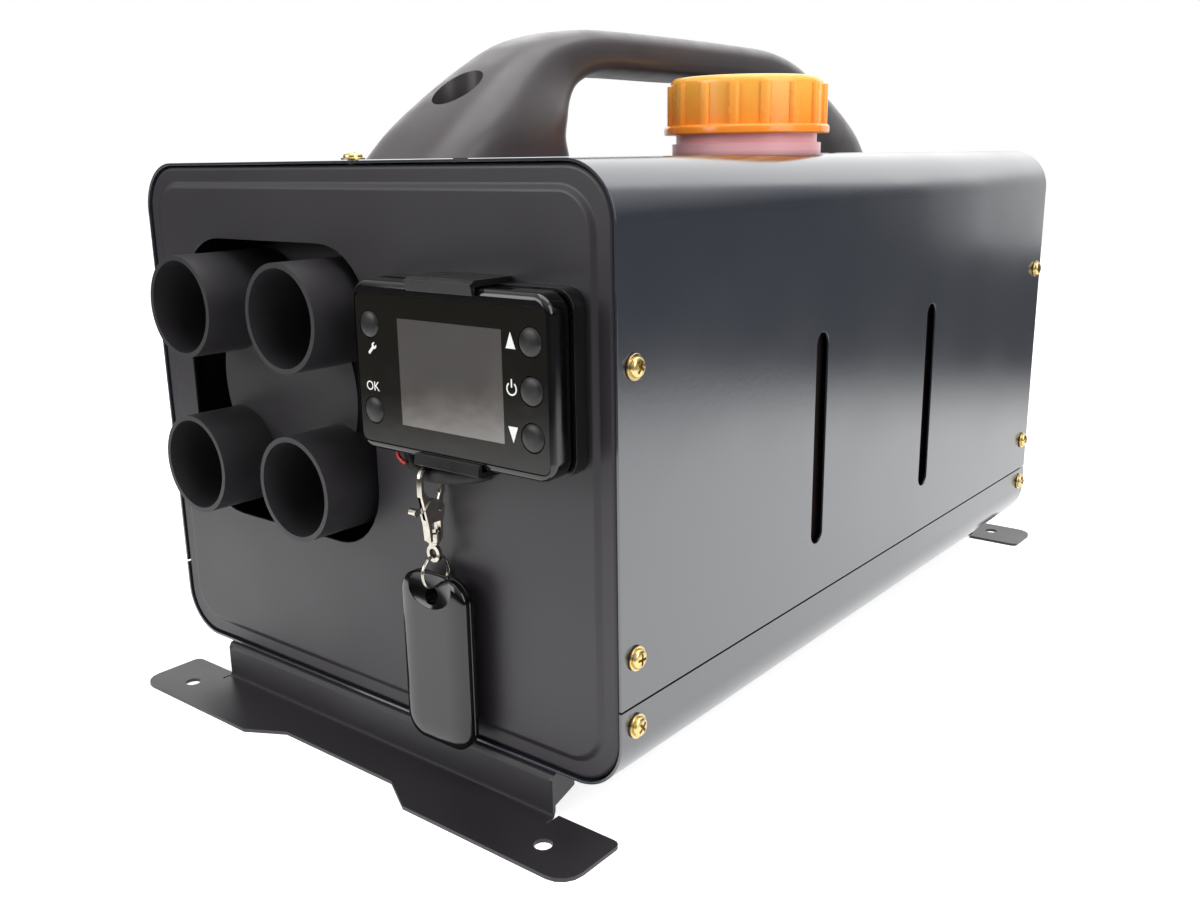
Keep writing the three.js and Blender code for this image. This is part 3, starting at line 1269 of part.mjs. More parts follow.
// One half shell of the remote; side -1 is the front one, and both halves meet on the y = 0 plane.
function remoteShell(side) {
  const middle = REMOTE_TOP - REMOTE_HEIGHT / 2;
  const half = REMOTE_THICKNESS / 2;
  const hole = REMOTE_HOLE_CENTRE;
  const outline = roundedRectangle(REMOTE_WIDTH, REMOTE_HEIGHT, REMOTE_CORNER, 0, middle);
  const whole = prism(outline, "y", -half, half, REMOTE_EDGE);
  const keep = side < 0 ? [-half - 1, -SEAT_GAP / 2] : [SEAT_GAP / 2, half + 1];
  const scoop = rod("y", 0, hole, REMOTE_SCOOP, -half - 0.01, 0, 14, REMOTE_HOLE - 0.3);
  const ramp = (turn) => box(-40, 40, -10, 0, -10, 10).rotate([turn, 0, 0]);
  const top = REMOTE_TOP - 9;
  return cut(
    whole.intersect(box(-40, 40, ...keep, middle - 60, middle + 60)),
    scoop,
    scoop.rotate([0, 0, 180]),
    rod("y", 0, hole, REMOTE_HOLE, -half - 1, half + 1, 14),
    ramp(-7).translate([0, -half, top + 9.9]),
    ramp(-7).rotate([0, 0, 180]).translate([0, half, top + 9.9]),
    box(-REMOTE_WIDTH / 2 - 1, 0.7 - REMOTE_WIDTH / 2, -0.9, 0.9, middle - 22, middle + 10),
  );
}

// ---------------------------------------------------------------- assembly
const housing = group(0, 0, 0);
heater.add(housing);
add(housing, "upper_cover", upperCover(), grayPaint);
add(housing, "bottom_pan", bottomPan(), grayPaint);
const handleSeat = [HANDLE_X, 0, HOUSING_TOP + SEAT_GAP];
add(housing, "carrying_handle", carryingHandle().translate(handleSeat), blackPlastic);

const ENDS = { front: 0, rear: Math.PI };
for (const [end, turn] of Object.entries(ENDS)) {
  const place = turn ? HALF_LENGTH : -HALF_LENGTH;
  const panel = group(0, turn ? place - PANEL_SETBACK : place + PANEL_SETBACK, 0, turn);
  const foot = group(0, place, 0, turn);
  housing.add(panel, foot);
  add(panel, `${end}_panel`, endPanel(turn ? rearCutters() : [outletOpening()]), blackPaint);
  add(foot, `${end}_foot_bracket`, footBracket(), blackPaint);

  const screwY = turn ? SCREW_PLACE : -SCREW_PLACE;
  add(housing, `${end}_top_screw`, sideScrew().translate([0, screwY, HOUSING_TOP]), yellowZinc);
  ["pan", "cover_lower", "cover_upper"].forEach((row, i) => {
    for (const [hand, side] of [["left", -1], ["right", 1]]) {
      const screw = sideScrew().rotate([0, 90 * side, 0]);
      const at = [side * HALF_WIDTH, screwY, FLOOR_GAP + SCREW_HEIGHTS[i]];
      add(housing, `${hand}_${end}_${row}_screw`, screw.translate(at), yellowZinc);
    }
  });

  const seat = HOUSING_TOP + SEAT_GAP + HANDLE_SCREW_SEAT;
  const screw = panScrew(HANDLE_SCREW_HEAD, 4, HANDLE_SCREW_SHANK, HANDLE_SCREW_LENGTH, SEAT_GAP);
  const y = ((turn ? 1 : -1) * HANDLE_SCREW_SPAN) / 2;
  add(housing, `${end}_handle_screw`, screw.translate([HANDLE_X, y, seat]), darkZinc);
}

const unit = group(HEATER_X, 0, HEATER_HEIGHT);
heater.add(unit);
add(unit, "outlet_manifold", outletManifold(), blackPlastic);
add(unit, "heater_case", heaterCase(), blackPlastic);
add(unit, "heat_exchanger", heatExchanger(), castAluminium);
add(unit, "burner_tube", burner(), stainless);
add(unit, "glow_plug", glowPlug(), stainless);
add(unit, "blower_motor", blowerMotor(), blackPlastic);
add(unit, "rotor_shaft", rotorShaft(), stainless);
add(unit, "fan_wheel", fanWheel(), blackPlastic);
add(unit, "combustion_impeller", combustionImpeller(), castAluminium);
add(unit, "control_board", controlBoard(), boardGreen);
const exhaustTop = -CASE_SIZE / 2 - 6 - SEAT_GAP;
const intakeTop = -CASE_SIZE / 2 - SEAT_GAP;
const exhaust = rearPipe(EXHAUST_X, EXHAUST_Y, exhaustTop, EXHAUST_DIAMETER, EXHAUST_WALL);
add(unit, "exhaust_pipe", exhaust, stainless);
add(unit, "intake_pipe", rearPipe(INTAKE_X, INTAKE_Y, intakeTop, INTAKE_DIAMETER, INTAKE_WALL), blackPlastic);

const tank = group(TANK_X, TANK_Y, 0);
heater.add(tank);
add(tank, "fuel_tank", fuelTank(), tankPlastic);
add(tank, "fuel_cap", fuelCap(), orangePlastic);
add(tank, "cap_seal", capSeal(), sealRubber);
const pump = group(PUMP_X, PUMP_Y, 0);
heater.add(pump);
add(pump, "fuel_pump", fuelPump(), castAluminium);
add(pump, "pump_clamp", pumpClamp(), sealRubber);
add(heater, "suction_hose", suctionHose(), sealRubber);
add(heater, "delivery_hose", deliveryHose(), sealRubber);
const inlet = group(INLET_X, 0, INLET_HEIGHT);
heater.add(inlet);
add(inlet, "power_inlet", powerInlet(), blackPlastic);

const controller = group(CONTROLLER_X, -HALF_LENGTH - CONTROLLER_FACE, CONTROLLER_HEIGHT);
heater.add(controller);
add(controller, "controller_holder", controllerHolder(), blackPlastic);
add(controller, "controller_housing", controllerHousing(), blackPlastic);
add(controller, "controller_bezel", controllerBezel(), glossPlastic);
add(controller, "display_lens", displayLens(), lensPlastic);
add(controller, "lcd_screen", screen(), screenGlass);
for (const [name, [x, z]] of Object.entries(BUTTONS)) add(controller, name, button(x, z), keyRubber);

add(heater, "control_cable", controlCable(), sealRubber);
const chain = group(CHAIN_X, CHAIN_Y, CABLE_HEIGHT);
heater.add(chain);
add(chain, "clasp_body", claspBody(), nickel);
add(chain, "clasp_trigger", claspTrigger(), nickel);
add(chain, "swivel_eye", swivelEye(), nickel);
add(chain, "split_ring", splitRing(), nickel);
add(chain, "remote_front_shell", remoteShell(-1), glossPlastic);
add(chain, "remote_rear_shell", remoteShell(1), glossPlastic);

export default heater;
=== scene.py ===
"""Looks for a portable diesel air heater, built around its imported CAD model.

Every length in the scene is in metres; sizes named ..._MM are in millimetres and go through mm().
"""

import math

import bmesh
import bpy
from mathutils import Matrix, Vector
from mathutils.geometry import tessellate_polygon


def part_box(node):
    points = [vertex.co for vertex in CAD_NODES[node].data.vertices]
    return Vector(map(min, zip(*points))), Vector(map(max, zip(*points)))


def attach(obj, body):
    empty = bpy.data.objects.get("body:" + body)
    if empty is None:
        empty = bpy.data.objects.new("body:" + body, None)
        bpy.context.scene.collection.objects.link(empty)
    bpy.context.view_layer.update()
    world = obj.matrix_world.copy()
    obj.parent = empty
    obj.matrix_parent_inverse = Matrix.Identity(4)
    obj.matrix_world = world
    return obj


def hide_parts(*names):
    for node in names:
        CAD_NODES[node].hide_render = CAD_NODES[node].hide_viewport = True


bl_info = {
    "name": "Diesel Air Heater",
    "version": (1, 0, 0),
    "blender": (4, 5, 0),
    "location": "View3D > Sidebar > Heater",
    "description": "Makes the finishes and fine shapes of a portable diesel air heater",
    "category": "Object",
}

PHOTO_WIDTH, PHOTO_HEIGHT = 1200, 908  # pixels of the photograph's frame

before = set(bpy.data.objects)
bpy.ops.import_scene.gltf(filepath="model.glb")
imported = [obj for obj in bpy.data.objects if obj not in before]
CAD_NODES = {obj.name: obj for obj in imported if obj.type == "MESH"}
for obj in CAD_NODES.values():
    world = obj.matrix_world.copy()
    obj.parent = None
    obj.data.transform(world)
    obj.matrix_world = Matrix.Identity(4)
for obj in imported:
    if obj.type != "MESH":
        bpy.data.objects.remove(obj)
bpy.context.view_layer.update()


# ---------------------------------------------------------------- lengths, colours and outlines
def mm(*lengths):
    """Millimetres to metres: one number, or a tuple of them."""
    scaled = tuple(length * 0.001 for length in lengths)
    return scaled[0] if len(scaled) == 1 else scaled


def linear(hex_colour, alpha=1.0):
    """An sRGB colour such as "3a3f45" as linear RGBA."""
    channels = [int(hex_colour[i : i + 2], 16) / 255 for i in (0, 2, 4)]
    return (*[c / 12.92 if c <= 0.04045 else ((c + 0.055) / 1.055) ** 2.4 for c in channels], alpha)


def box_of(node):
    """A CAD node's lowest corner, highest corner and middle."""
    low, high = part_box(node)
    return low, high, (low + high) / 2


def arc(centre, radius, start, end, steps):
    """Points on an arc, angles in degrees, both ends included."""
    angles = [math.radians(start + (end - start) * i / steps) for i in range(steps + 1)]
    return [(centre[0] + radius * math.cos(a), centre[1] + radius * math.sin(a)) for a in angles]


def rounded_outline(width, height, corner, centre=(0, 0), steps=8):
    """A rounded rectangle, anticlockwise."""
    u, v = width / 2 - corner, height / 2 - corner
    points = []
    for quarter, (su, sv) in enumerate(((1, 1), (-1, 1), (-1, -1), (1, -1))):
        middle = (centre[0] + su * u, centre[1] + sv * v)
        points += arc(middle, corner, 90 * quarter, 90 * quarter + 90, steps)
    return points


def circle_outline(radius, centre=(0, 0), steps=48):
    return arc(centre, radius, 0, 360, steps)[:-1]


# ---------------------------------------------------------------- meshes
# Each turns a flat point (u, v) and a depth w to the part's axes.
ALONG = {
    "x": lambda u, v, w: Vector((w, u, v)),
    "y": lambda u, v, w: Vector((u, w, v)),
    "z": lambda u, v, w: Vector((u, v, w)),
}


def mesh_object(name, build, outward=True):
    """A new object at the origin whose mesh the given function fills."""
    bm = bmesh.new()
    build(bm)
    if outward:
        bmesh.ops.remove_doubles(bm, verts=bm.verts, dist=mm(0.0005))
        bmesh.ops.recalc_face_normals(bm, faces=bm.faces)
    mesh = bpy.data.meshes.new(name)
    bm.to_mesh(mesh)
    bm.free()
    made = bpy.data.objects.new(name, mesh)
    bpy.context.scene.collection.objects.link(made)
    return made


def bridge(bm, lower, upper):
    """Faces between two rings of equally many vertices."""
    count = len(lower)
    for i in range(count):
        j = (i + 1) % count
        bm.faces.new((lower[i], lower[j], upper[j], upper[i]))


def flat_faces(bm, rings):
    """Fills the outline that the first ring of vertices holds, less the rings after it."""
    vertices = [v for ring in rings for v in ring]
    for triangle in tessellate_polygon([[v.co for v in ring] for ring in rings]):
        if len(set(triangle)) == 3:
            bm.faces.new([vertices[i] for i in triangle])


def prism(name, axis, outline, start, end, holes=()):
    """A closed outline, with holes, drawn out along an axis."""

    def build(bm):
        place = ALONG[axis]
        ends = []
        for depth in (start, end):
            ends.append([[bm.verts.new(place(u, v, depth)) for u, v in ring] for ring in (outline, *holes)])
            flat_faces(bm, ends[-1])
        for lower, upper in zip(*ends):
            bridge(bm, lower, upper)

    return mesh_object(name, build)


def lofted(name, rings, closed_ends=True):
    """A skin through rings of points, with flat ends."""

    def build(bm):
        rows = [[bm.verts.new(point) for point in ring] for ring in rings]
        for lower, upper in zip(rows, rows[1:]):
            bridge(bm, lower, upper)
        if closed_ends:
            flat_faces(bm, [rows[0]])
            flat_faces(bm, [rows[-1]])

    return mesh_object(name, build)


def turned(name, axis, centre, profile, steps=64):
    """A profile of (radius, depth) points turned round an axis through the centre (u, v)."""
    place = ALONG[axis]
    rings = []
    for radius, depth in profile:
        radius = max(radius, mm(0.0001))
        rings.append([place(centre[0] + u, centre[1] + v, depth) for u, v in circle_outline(radius, steps=steps)])
    return lofted(name, rings)


def cylinder(name, axis, centre, radius, start, end, steps=64):
    return turned(name, axis, centre, [(radius, start), (radius, end)], steps)


def tube_along(name, points, radius, sides=16):
    """A round cord through points, as a mesh."""
    curve = bpy.data.curves.new(name, "CURVE")
    curve.dimensions = "3D"
    curve.bevel_depth = radius
    curve.bevel_resolution = max(1, sides // 4 - 1)
    curve.use_fill_caps = True
    spline = curve.splines.new("NURBS")
    spline.points.add(len(points) - 1)
    for spot, point in zip(spline.points, points):
        spot.co = (*point, 1)
    spline.use_endpoint_u = True
    spline.order_u = 4
    spline.resolution_u = 6
    holder = bpy.data.objects.new(name + "_line", curve)
    bpy.context.scene.collection.objects.link(holder)
    bpy.context.view_layer.update()
    mesh = bpy.data.meshes.new_from_object(holder.evaluated_get(bpy.context.evaluated_depsgraph_get()))
    bpy.data.objects.remove(holder)
    made = bpy.data.objects.new(name, mesh)
    bpy.context.scene.collection.objects.link(made)
    return made


def bake_modifiers(piece):
    """Turns the piece, with its modifiers, into a plain mesh."""
    bpy.context.view_layer.update()
    graph = bpy.context.evaluated_depsgraph_get()
    mesh = bpy.data.meshes.new_from_object(piece.evaluated_get(graph))
    piece.modifiers.clear()
    piece.data = mesh
    return piece


def combine(piece, others, operation="DIFFERENCE"):
    """Cuts or joins closed solids, which are used up."""
    for other in others:
        modifier = piece.modifiers.new(operation, "BOOLEAN")
        modifier.operation = operation
        modifier.solver = "EXACT"
        modifier.object = other
        other.hide_render = True
    bake_modifiers(piece)
    for other in others:
        bpy.data.objects.remove(other)
    return piece


def soften(piece, radius_mm, segments=2, angle=35):
    """Rounds the sharp edges, and shades them smooth without bending the look of the flat faces."""
    shade(piece)
    modifier = piece.modifiers.new("edges", "BEVEL")
    modifier.width = mm(radius_mm)
    modifier.segments = segments
    modifier.limit_method = "ANGLE"
    modifier.angle_limit = math.radians(angle)
    modifier.miter_outer = "MITER_ARC"
    flat = piece.modifiers.new("flat", "WEIGHTED_NORMAL")
    flat.mode, flat.weight, flat.keep_sharp = "FACE_AREA", 50, True
    return bake_modifiers(piece)


def shade(piece, angle=40):
    piece.data.polygons.foreach_set("use_smooth", [True] * len(piece.data.polygons))
    piece.data.set_sharp_from_angle(angle=math.radians(angle))
    return piece


def copy_of_node(node, name, flat=0.2):
    """A welded copy of a CAD node's mesh, with its flat faces merged."""
    bm = bmesh.new()
    bm.from_mesh(CAD_NODES[node].data)
    bmesh.ops.remove_doubles(bm, verts=bm.verts, dist=mm(0.002))
    bmesh.ops.dissolve_limit(bm, angle_limit=math.radians(flat), verts=bm.verts, edges=bm.edges)
    mesh = bpy.data.meshes.new(name)
    bm.to_mesh(mesh)
    bm.free()
    made = bpy.data.objects.new(name, mesh)
    bpy.context.scene.collection.objects.link(made)
    return made


def settle(piece, material, body="heater", nodes=()):
    """Gives the piece its material, the body it rides on and the nodes it stands for."""
    piece.data.materials.clear()
    piece.data.materials.append(material)
    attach(piece, body)
    if nodes:
        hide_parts(*nodes)
    return piece


def dress_node(node, material, body="heater", edge_mm=0.3, segments=2):
    """A softened copy of a CAD node in the node's place."""
    piece = copy_of_node(node, node + "_finish")
    soften(piece, edge_mm, segments)
    return settle(piece, material, body, [node])


# ---------------------------------------------------------------- node trees
def add_node(tree, kind, inputs=None, **settings):
    """Adds a node; inputs are values, or sockets of other nodes to link, by name or place."""
    made = tree.nodes.new(kind)
    for name, value in settings.items():
        setattr(made, name, value)
    for key, value in (inputs or {}).items():
        socket = made.inputs[key]
        if isinstance(value, bpy.types.NodeSocket):
            tree.links.new(value, socket)
        else:
            socket.default_value = value
    return made


def new_surface(name, **values):
    """A material with one Principled shader, and the shader and tree to add to."""
    material = bpy.data.materials.new(name)
    material.use_nodes = True
    tree = material.node_tree
    shader = tree.nodes["Principled BSDF"]
    for key, value in values.items():
        shader.inputs[key.replace("_", " ")].default_value = value
    return material, tree, shader


def grain(tree, size_mm, detail=2.0, stretch=(1, 1, 1)):
    """Noise over the object's own coordinates, its lumps about size_mm across."""
    place = add_node(tree, "ShaderNodeTexCoord").outputs["Object"]
    if tuple(stretch) != (1, 1, 1):
        place = add_node(tree, "ShaderNodeMapping", {"Vector": place, "Scale": stretch}).outputs["Vector"]
    noise = add_node(tree, "ShaderNodeTexNoise", {"Vector": place, "Scale": 1 / mm(size_mm), "Detail": detail})
    return noise.outputs["Fac"]


def ramp_between(tree, factor, low, high, start=0.3, end=0.7):
    """A value or a colour that goes from low to high as the factor goes from start to end."""
    ramp = add_node(tree, "ShaderNodeValToRGB", {"Fac": factor})
    for element, place, value in zip(ramp.color_ramp.elements, (start, end), (low, high)):
        element.position = place
        element.color = value if isinstance(value, tuple) else (value, value, value, 1)
    return ramp.outputs["Color"]


def roughen(tree, shader, size_mm, low, high):
    """Uneven gloss, as from handling and from the way a surface was made."""
    tree.links.new(ramp_between(tree, grain(tree, size_mm), low, high), shader.inputs["Roughness"])


def emboss(tree, shader, height, depth_mm, strength=1.0):
    bump = add_node(tree, "ShaderNodeBump", {"Height": height, "Distance": mm(depth_mm), "Strength": strength})
    tree.links.new(bump.outputs["Normal"], shader.inputs["Normal"])


def powder_coat(name, colour, roughness, ior, peel_mm, peel_depth_mm):
    """Baked powder paint on steel: an even colour with the soft waviness called orange peel."""
    material, tree, shader = new_surface(name, Base_Color=colour, IOR=ior)
    roughen(tree, shader, 60, roughness - 0.03, roughness + 0.04)
    emboss(tree, shader, grain(tree, peel_mm, 1.0), peel_depth_mm)
    return material


def moulded_plastic(name, colour, roughness, texture_mm, texture_depth_mm, worn="222124"):
    """Injection-moulded plastic out of a spark-eroded mould: matt, finely grained, greyer where it is rubbed."""
    material, tree, shader = new_surface(name, IOR=1.49)
    cloud = grain(tree, 35, 4.0)
    tree.links.new(ramp_between(tree, cloud, colour, linear(worn), 0.45, 0.9), shader.inputs["Base Color"])
    roughen(tree, shader, 12, roughness - 0.04, roughness + 0.05)
    emboss(tree, shader, grain(tree, texture_mm, 3.0), texture_depth_mm)
    return material


def polished_plastic(name, colour, roughness=0.08):
    """ABS out of a polished mould: deep gloss with faint haze from handling."""
    material, tree, shader = new_surface(name, Base_Color=colour, IOR=1.54)
    roughen(tree, shader, 18, roughness - 0.03, roughness + 0.06)
    emboss(tree, shader, grain(tree, 9, 1.0), 0.02)
    return material


def plated_steel(name, colour, tint, roughness):
    """Zinc or nickel plate: metallic, with slow changes of hue over the surface."""
    material, tree, shader = new_surface(name, Metallic=1.0)
    tree.links.new(ramp_between(tree, grain(tree, 3, 2.0), colour, tint), shader.inputs["Base Color"])
    roughen(tree, shader, 1.5, roughness - 0.05, roughness + 0.1)
    return material


def plain_metal(name, colour, roughness, lump_mm):
    """As-cast or drawn metal with an uneven skin."""
    material, tree, shader = new_surface(name, Base_Color=colour, Metallic=1.0)
    roughen(tree, shader, 4, roughness - 0.08, roughness + 0.08)
    emboss(tree, shader, grain(tree, lump_mm, 2.0), 0.05)
    return material


def soft_rubber(name, colour, roughness):
    """Silicone or nitrile rubber: dull, with a faint bloom."""
    material, tree, shader = new_surface(name, IOR=1.45)
    dusty = linear("3a3a3b")
    tree.links.new(ramp_between(tree, grain(tree, 6, 3.0), colour, dusty, 0.5, 1.0), shader.inputs["Base Color"])
    roughen(tree, shader, 3, roughness - 0.05, roughness + 0.08)
    return material


def clouded_plastic(name, colour, deep, scatter, roughness, low, high):
    """Polyolefin that lets light a little way in, with a painted highlight: paler towards its top, deeper lower down.
    """
    material, tree, shader = new_surface(name, IOR=1.5, Subsurface_Weight=scatter, Subsurface_Scale=mm(4))
    place = add_node(tree, "ShaderNodeTexCoord").outputs["Object"]
    height = add_node(tree, "ShaderNodeSeparateXYZ", {"Vector": place}).outputs["Z"]
    share = add_node(
        tree, "ShaderNodeMapRange", {"Value": height, "From Min": low, "From Max": high, "To Min": 0, "To Max": 1}
    )
    # Painted highlight: the colour pales with height, as light falls on the top.
    blend = ramp_between(tree, share.outputs["Result"], deep, colour, 0.0, 1.0)
    tree.links.new(blend, shader.inputs["Base Color"])
    roughen(tree, shader, 8, roughness - 0.05, roughness + 0.08)
    emboss(tree, shader, grain(tree, 5, 1.0), 0.03)
    return material


# ---------------------------------------------------------------- settings
def colour_property(name, description, hex_colour):
    return bpy.props.FloatVectorProperty(
        name=name,
        description=description,
        subtype="COLOR",
        size=4,
        min=0,
        max=1,
        default=linear(hex_colour),
    )


def length_property(name, description, millimetres):
    return bpy.props.FloatProperty(
        name=name, description=description, subtype="DISTANCE", unit="LENGTH", default=mm(millimetres)
    )


class HeaterColours(bpy.types.PropertyGroup):
    """Colours of the finishes."""

    housing: colour_property("Housing", "Powder coat of the cover and the pan", "292d35")
    panel: colour_property("Panels", "Powder coat of the end panels and the feet", "252226")
    moulded: colour_property("Moulded black", "Outlets and other mouldings", "232023")
    grip: colour_property("Handle", "Carrying handle", "3c3739")
    tray: colour_property("Tray", "Controller tray and back", "0d0d0e")
    gloss: colour_property("Gloss black", "Controller bezel and remote", "050506")
    lens: colour_property("Display window", "Tinted window over the display", "110f0a")
    screen: colour_property("Blank display", "Display seen through the window", "8f8b88")
    print_white: colour_property("Print", "Symbols printed on the window", "e8e8e6")
    # Painted highlight: the cap runs from cap_deep at its foot to the paler cap colour at its top, where light falls
    # from above.
    cap: colour_property("Cap edge", "Thin upper edge of the fuel cap", "ffb850")
    cap_deep: colour_property("Cap body", "Thick body of the fuel cap", "ff9028")
    tank: colour_property("Tank", "Natural polyethylene", "f3b6bc")
    # Painted light: orange glow on the neck under the cap, standing for light through the cap.
    tank_painted_glow: colour_property("Tank neck", "Neck under the cap", "f58f7c")
    zinc: colour_property("Yellow zinc", "Housing screws", "d8bf74")
    floor: colour_property("Floor", "Floor and backdrop", "e6e6e6")


class HeaterSizes(bpy.types.PropertyGroup):
    """Sizes of the fine shapes that the CAD model leaves plain."""

    sheet_edge: length_property("Sheet edge", "Rounding of cut sheet edges", 0.3)
    moulded_edge: length_property("Moulded edge", "Rounding of moulded edges", 0.6)
    panel_bend: length_property("Panel bend", "Outer radius where a panel's rim meets its skirt", 1.8)
    step_run: length_property("Step run", "Width of the step between rim and raised field", 3.0)
    bezel_edge: length_property("Bezel edge", "Rounding of the controller's front edge", 2.4)
    remote_swell: length_property("Remote swell", "Width over which the remote's faces curve to its sides", 9.0)
    recess_width: length_property("Recess width", "Width of a screw's cross recess", 1.0)


# ---------------------------------------------------------------- finishes
WORLD_LEVEL = 0.5  # light from all round on what isn't seen by the camera itself
FLOOR_LIFT = 0.7  # added to the floor's own light where the camera sees it
ROOM_LEVEL, CEILING_LEVEL = 0.07, 1.0  # what reflections find level with the object and above it
FINISHES = {}


def finish(name):
    """The object's finishes, each made once."""
    if name not in FINISHES:
        FINISHES[name] = MAKE_FINISH[name](bpy.context.scene.heater_colours)
    return FINISHES[name]


def cap_plastic(colours):
    low, high, _ = box_of("fuel_cap")
    return clouded_plastic(
        "orange polypropylene", tuple(colours.cap), tuple(colours.cap_deep), 0.35, 0.22, low.z, high.z
    )


def tank_plastic(colours):
    """Natural polyethylene: milky at the neck, with a painted orange glow under the cap where light through the cap
    falls, and painted shade where the housing shades it.
    """
    material, tree, shader = new_surface("natural polyethylene", IOR=1.5, Subsurface_Scale=mm(4))
    place = add_node(tree, "ShaderNodeTexCoord").outputs["Object"]
    height = add_node(tree, "ShaderNodeSeparateXYZ", {"Vector": place}).outputs["Z"]
    roof, neck_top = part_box("upper_cover")[1].z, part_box("fuel_tank")[1].z
    span = {"Value": height, "From Min": roof - mm(4), "From Max": neck_top}
    share = add_node(tree, "ShaderNodeMapRange", span).outputs["Result"]
    ramp = add_node(tree, "ShaderNodeValToRGB", {"Fac": share})
    stops = ramp.color_ramp.elements
    # Painted shade: below the cover's roof the tank turns near black, for the housing's shade seen through the slots.
    stops[0].position, stops[0].color = 0.0, linear("1c1413")
    # Painted light: the neck turns orange towards its top, for light through the cap.
    stops[1].position, stops[1].color = 1.0, tuple(colours.tank_painted_glow)
    for spot in (0.2, 0.55):
        stops.new(spot).color = tuple(colours.tank)
    tree.links.new(ramp.outputs["Color"], shader.inputs["Base Color"])
    glow = add_node(tree, "ShaderNodeMath", {0: share, 1: 0.4}, operation="MULTIPLY").outputs[0]
    tree.links.new(glow, shader.inputs["Subsurface Weight"])
    roughen(tree, shader, 8, 0.3, 0.43)
    emboss(tree, shader, grain(tree, 5, 1.0), 0.03)
    return material


def window_plastic(colours):
    """Tinted acrylic, brownish black, over a blank display whose mirror backing picks up the room and the table."""
    material, tree, shader = new_surface("tinted acrylic", IOR=1.46)
    low, high, middle = box_of("lcd_screen")
    place = add_node(tree, "ShaderNodeTexCoord").outputs["Object"]
    axes = add_node(tree, "ShaderNodeSeparateXYZ", {"Vector": place})
    sides = []
    for axis, key in ((0, "X"), (2, "Z")):
        off = add_node(tree, "ShaderNodeMath", {0: axes.outputs[key], 1: middle[axis]}, operation="SUBTRACT")
        size = add_node(tree, "ShaderNodeMath", {0: off.outputs[0]}, operation="ABSOLUTE").outputs[0]
        half = (high[axis] - low[axis]) / 2
        sides.append(add_node(tree, "ShaderNodeMath", {0: size, 1: half}, operation="LESS_THAN").outputs[0])
    inside = add_node(tree, "ShaderNodeMath", {0: sides[0], 1: sides[1]}, operation="MULTIPLY").outputs[0]
    tints = {"Factor": inside, "A": tuple(colours.lens), "B": tuple(colours.screen)}
    base = add_node(tree, "ShaderNodeMix", tints, data_type="RGBA")
    tree.links.new(base.outputs["Result"], shader.inputs["Base Color"])
    mirror = add_node(tree, "ShaderNodeMath", {0: inside, 1: 0.85}, operation="MULTIPLY").outputs[0]
    tree.links.new(mirror, shader.inputs["Metallic"])
    roughen(tree, shader, 14, 0.05, 0.14)
    emboss(tree, shader, grain(tree, 7, 1.0), 0.03)
    return material


def seen_directly(tree):
    """1 for the rays of the camera and those through clear matter, and the same for reflections, as two sockets."""
    path = add_node(tree, "ShaderNodeLightPath").outputs
    plain = add_node(tree, "ShaderNodeMath", {0: path["Is Camera Ray"], 1: path["Is Transmission Ray"]}, operation="MAXIMUM")
    return plain.outputs[0], path["Is Glossy Ray"]


def floor_surface(colours):
    """A pale table top: white to the camera but for its shadow, and seen in reflections near the object only."""
    material, tree, shader = new_surface("pale floor", Base_Color=tuple(colours.floor), Roughness=0.9)
    plain, mirrored = seen_directly(tree)
    place = add_node(tree, "ShaderNodeTexCoord").outputs["Object"]
    reach = add_node(tree, "ShaderNodeVectorMath", {0: place}, operation="LENGTH").outputs["Value"]
    fade = {"Value": reach, "From Min": 0.5, "From Max": 0.95, "To Min": 0.9, "To Max": 0.03}
    near = add_node(tree, "ShaderNodeMapRange", fade, interpolation_type="SMOOTHSTEP").outputs["Result"]
    shine = add_node(tree, "ShaderNodeMath", {0: mirrored, 1: near}, operation="MULTIPLY").outputs[0]
    unseen = add_node(tree, "ShaderNodeMath", {0: mirrored, 1: shine}, operation="SUBTRACT").outputs[0]
    faded = {"Factor": unseen, "A": tuple(colours.floor), "B": (0, 0, 0, 1)}
    faded = add_node(tree, "ShaderNodeMix", faded, data_type="RGBA").outputs["Result"]
    tree.links.new(faded, shader.inputs["Base Color"])
    lift = {0: plain, 1: FLOOR_LIFT, 2: shine}
    strength = add_node(tree, "ShaderNodeMath", lift, operation="MULTIPLY_ADD").outputs[0]
    glow = add_node(tree, "ShaderNodeEmission", {"Color": (1, 1, 1, 1), "Strength": strength})
    both = add_node(tree, "ShaderNodeAddShader", {0: shader.outputs["BSDF"], 1: glow.outputs["Emission"]})
    tree.links.new(both.outputs["Shader"], tree.nodes["Material Output"].inputs["Surface"])
    return material


def wall_surface(colours):
    """A white screen behind the object, for its shine: bright in reflections, more so above, and dim as a light."""
    material, tree, _ = new_surface("white screen", Base_Color=tuple(colours.floor))
    plain, mirrored = seen_directly(tree)
    place = add_node(tree, "ShaderNodeTexCoord").outputs["Object"]
    height = add_node(tree, "ShaderNodeSeparateXYZ", {"Vector": place}).outputs["Z"]
    shine = {"Value": height, "From Min": 0.5, "From Max": 1.0, "To Min": 1.35, "To Max": 2.2}
    shine = add_node(tree, "ShaderNodeMapRange", shine, interpolation_type="SMOOTHSTEP").outputs["Result"]
    level = add_node(tree, "ShaderNodeMix", {"Factor": mirrored, "A": WORLD_LEVEL, "B": shine}).outputs["Result"]
    level = add_node(tree, "ShaderNodeMix", {"Factor": plain, "A": level, "B": 1.0}).outputs["Result"]
    glow = add_node(tree, "ShaderNodeEmission", {"Color": (1, 1, 1, 1), "Strength": level})
    tree.links.new(glow.outputs["Emission"], tree.nodes["Material Output"].inputs["Surface"])
    return material


def printed_white(colours):
    """Screen-printed ink, flat and dull."""
    material, tree, shader = new_surface("white ink", Base_Color=tuple(colours.print_white))
    roughen(tree, shader, 2, 0.5, 0.65)
    return material


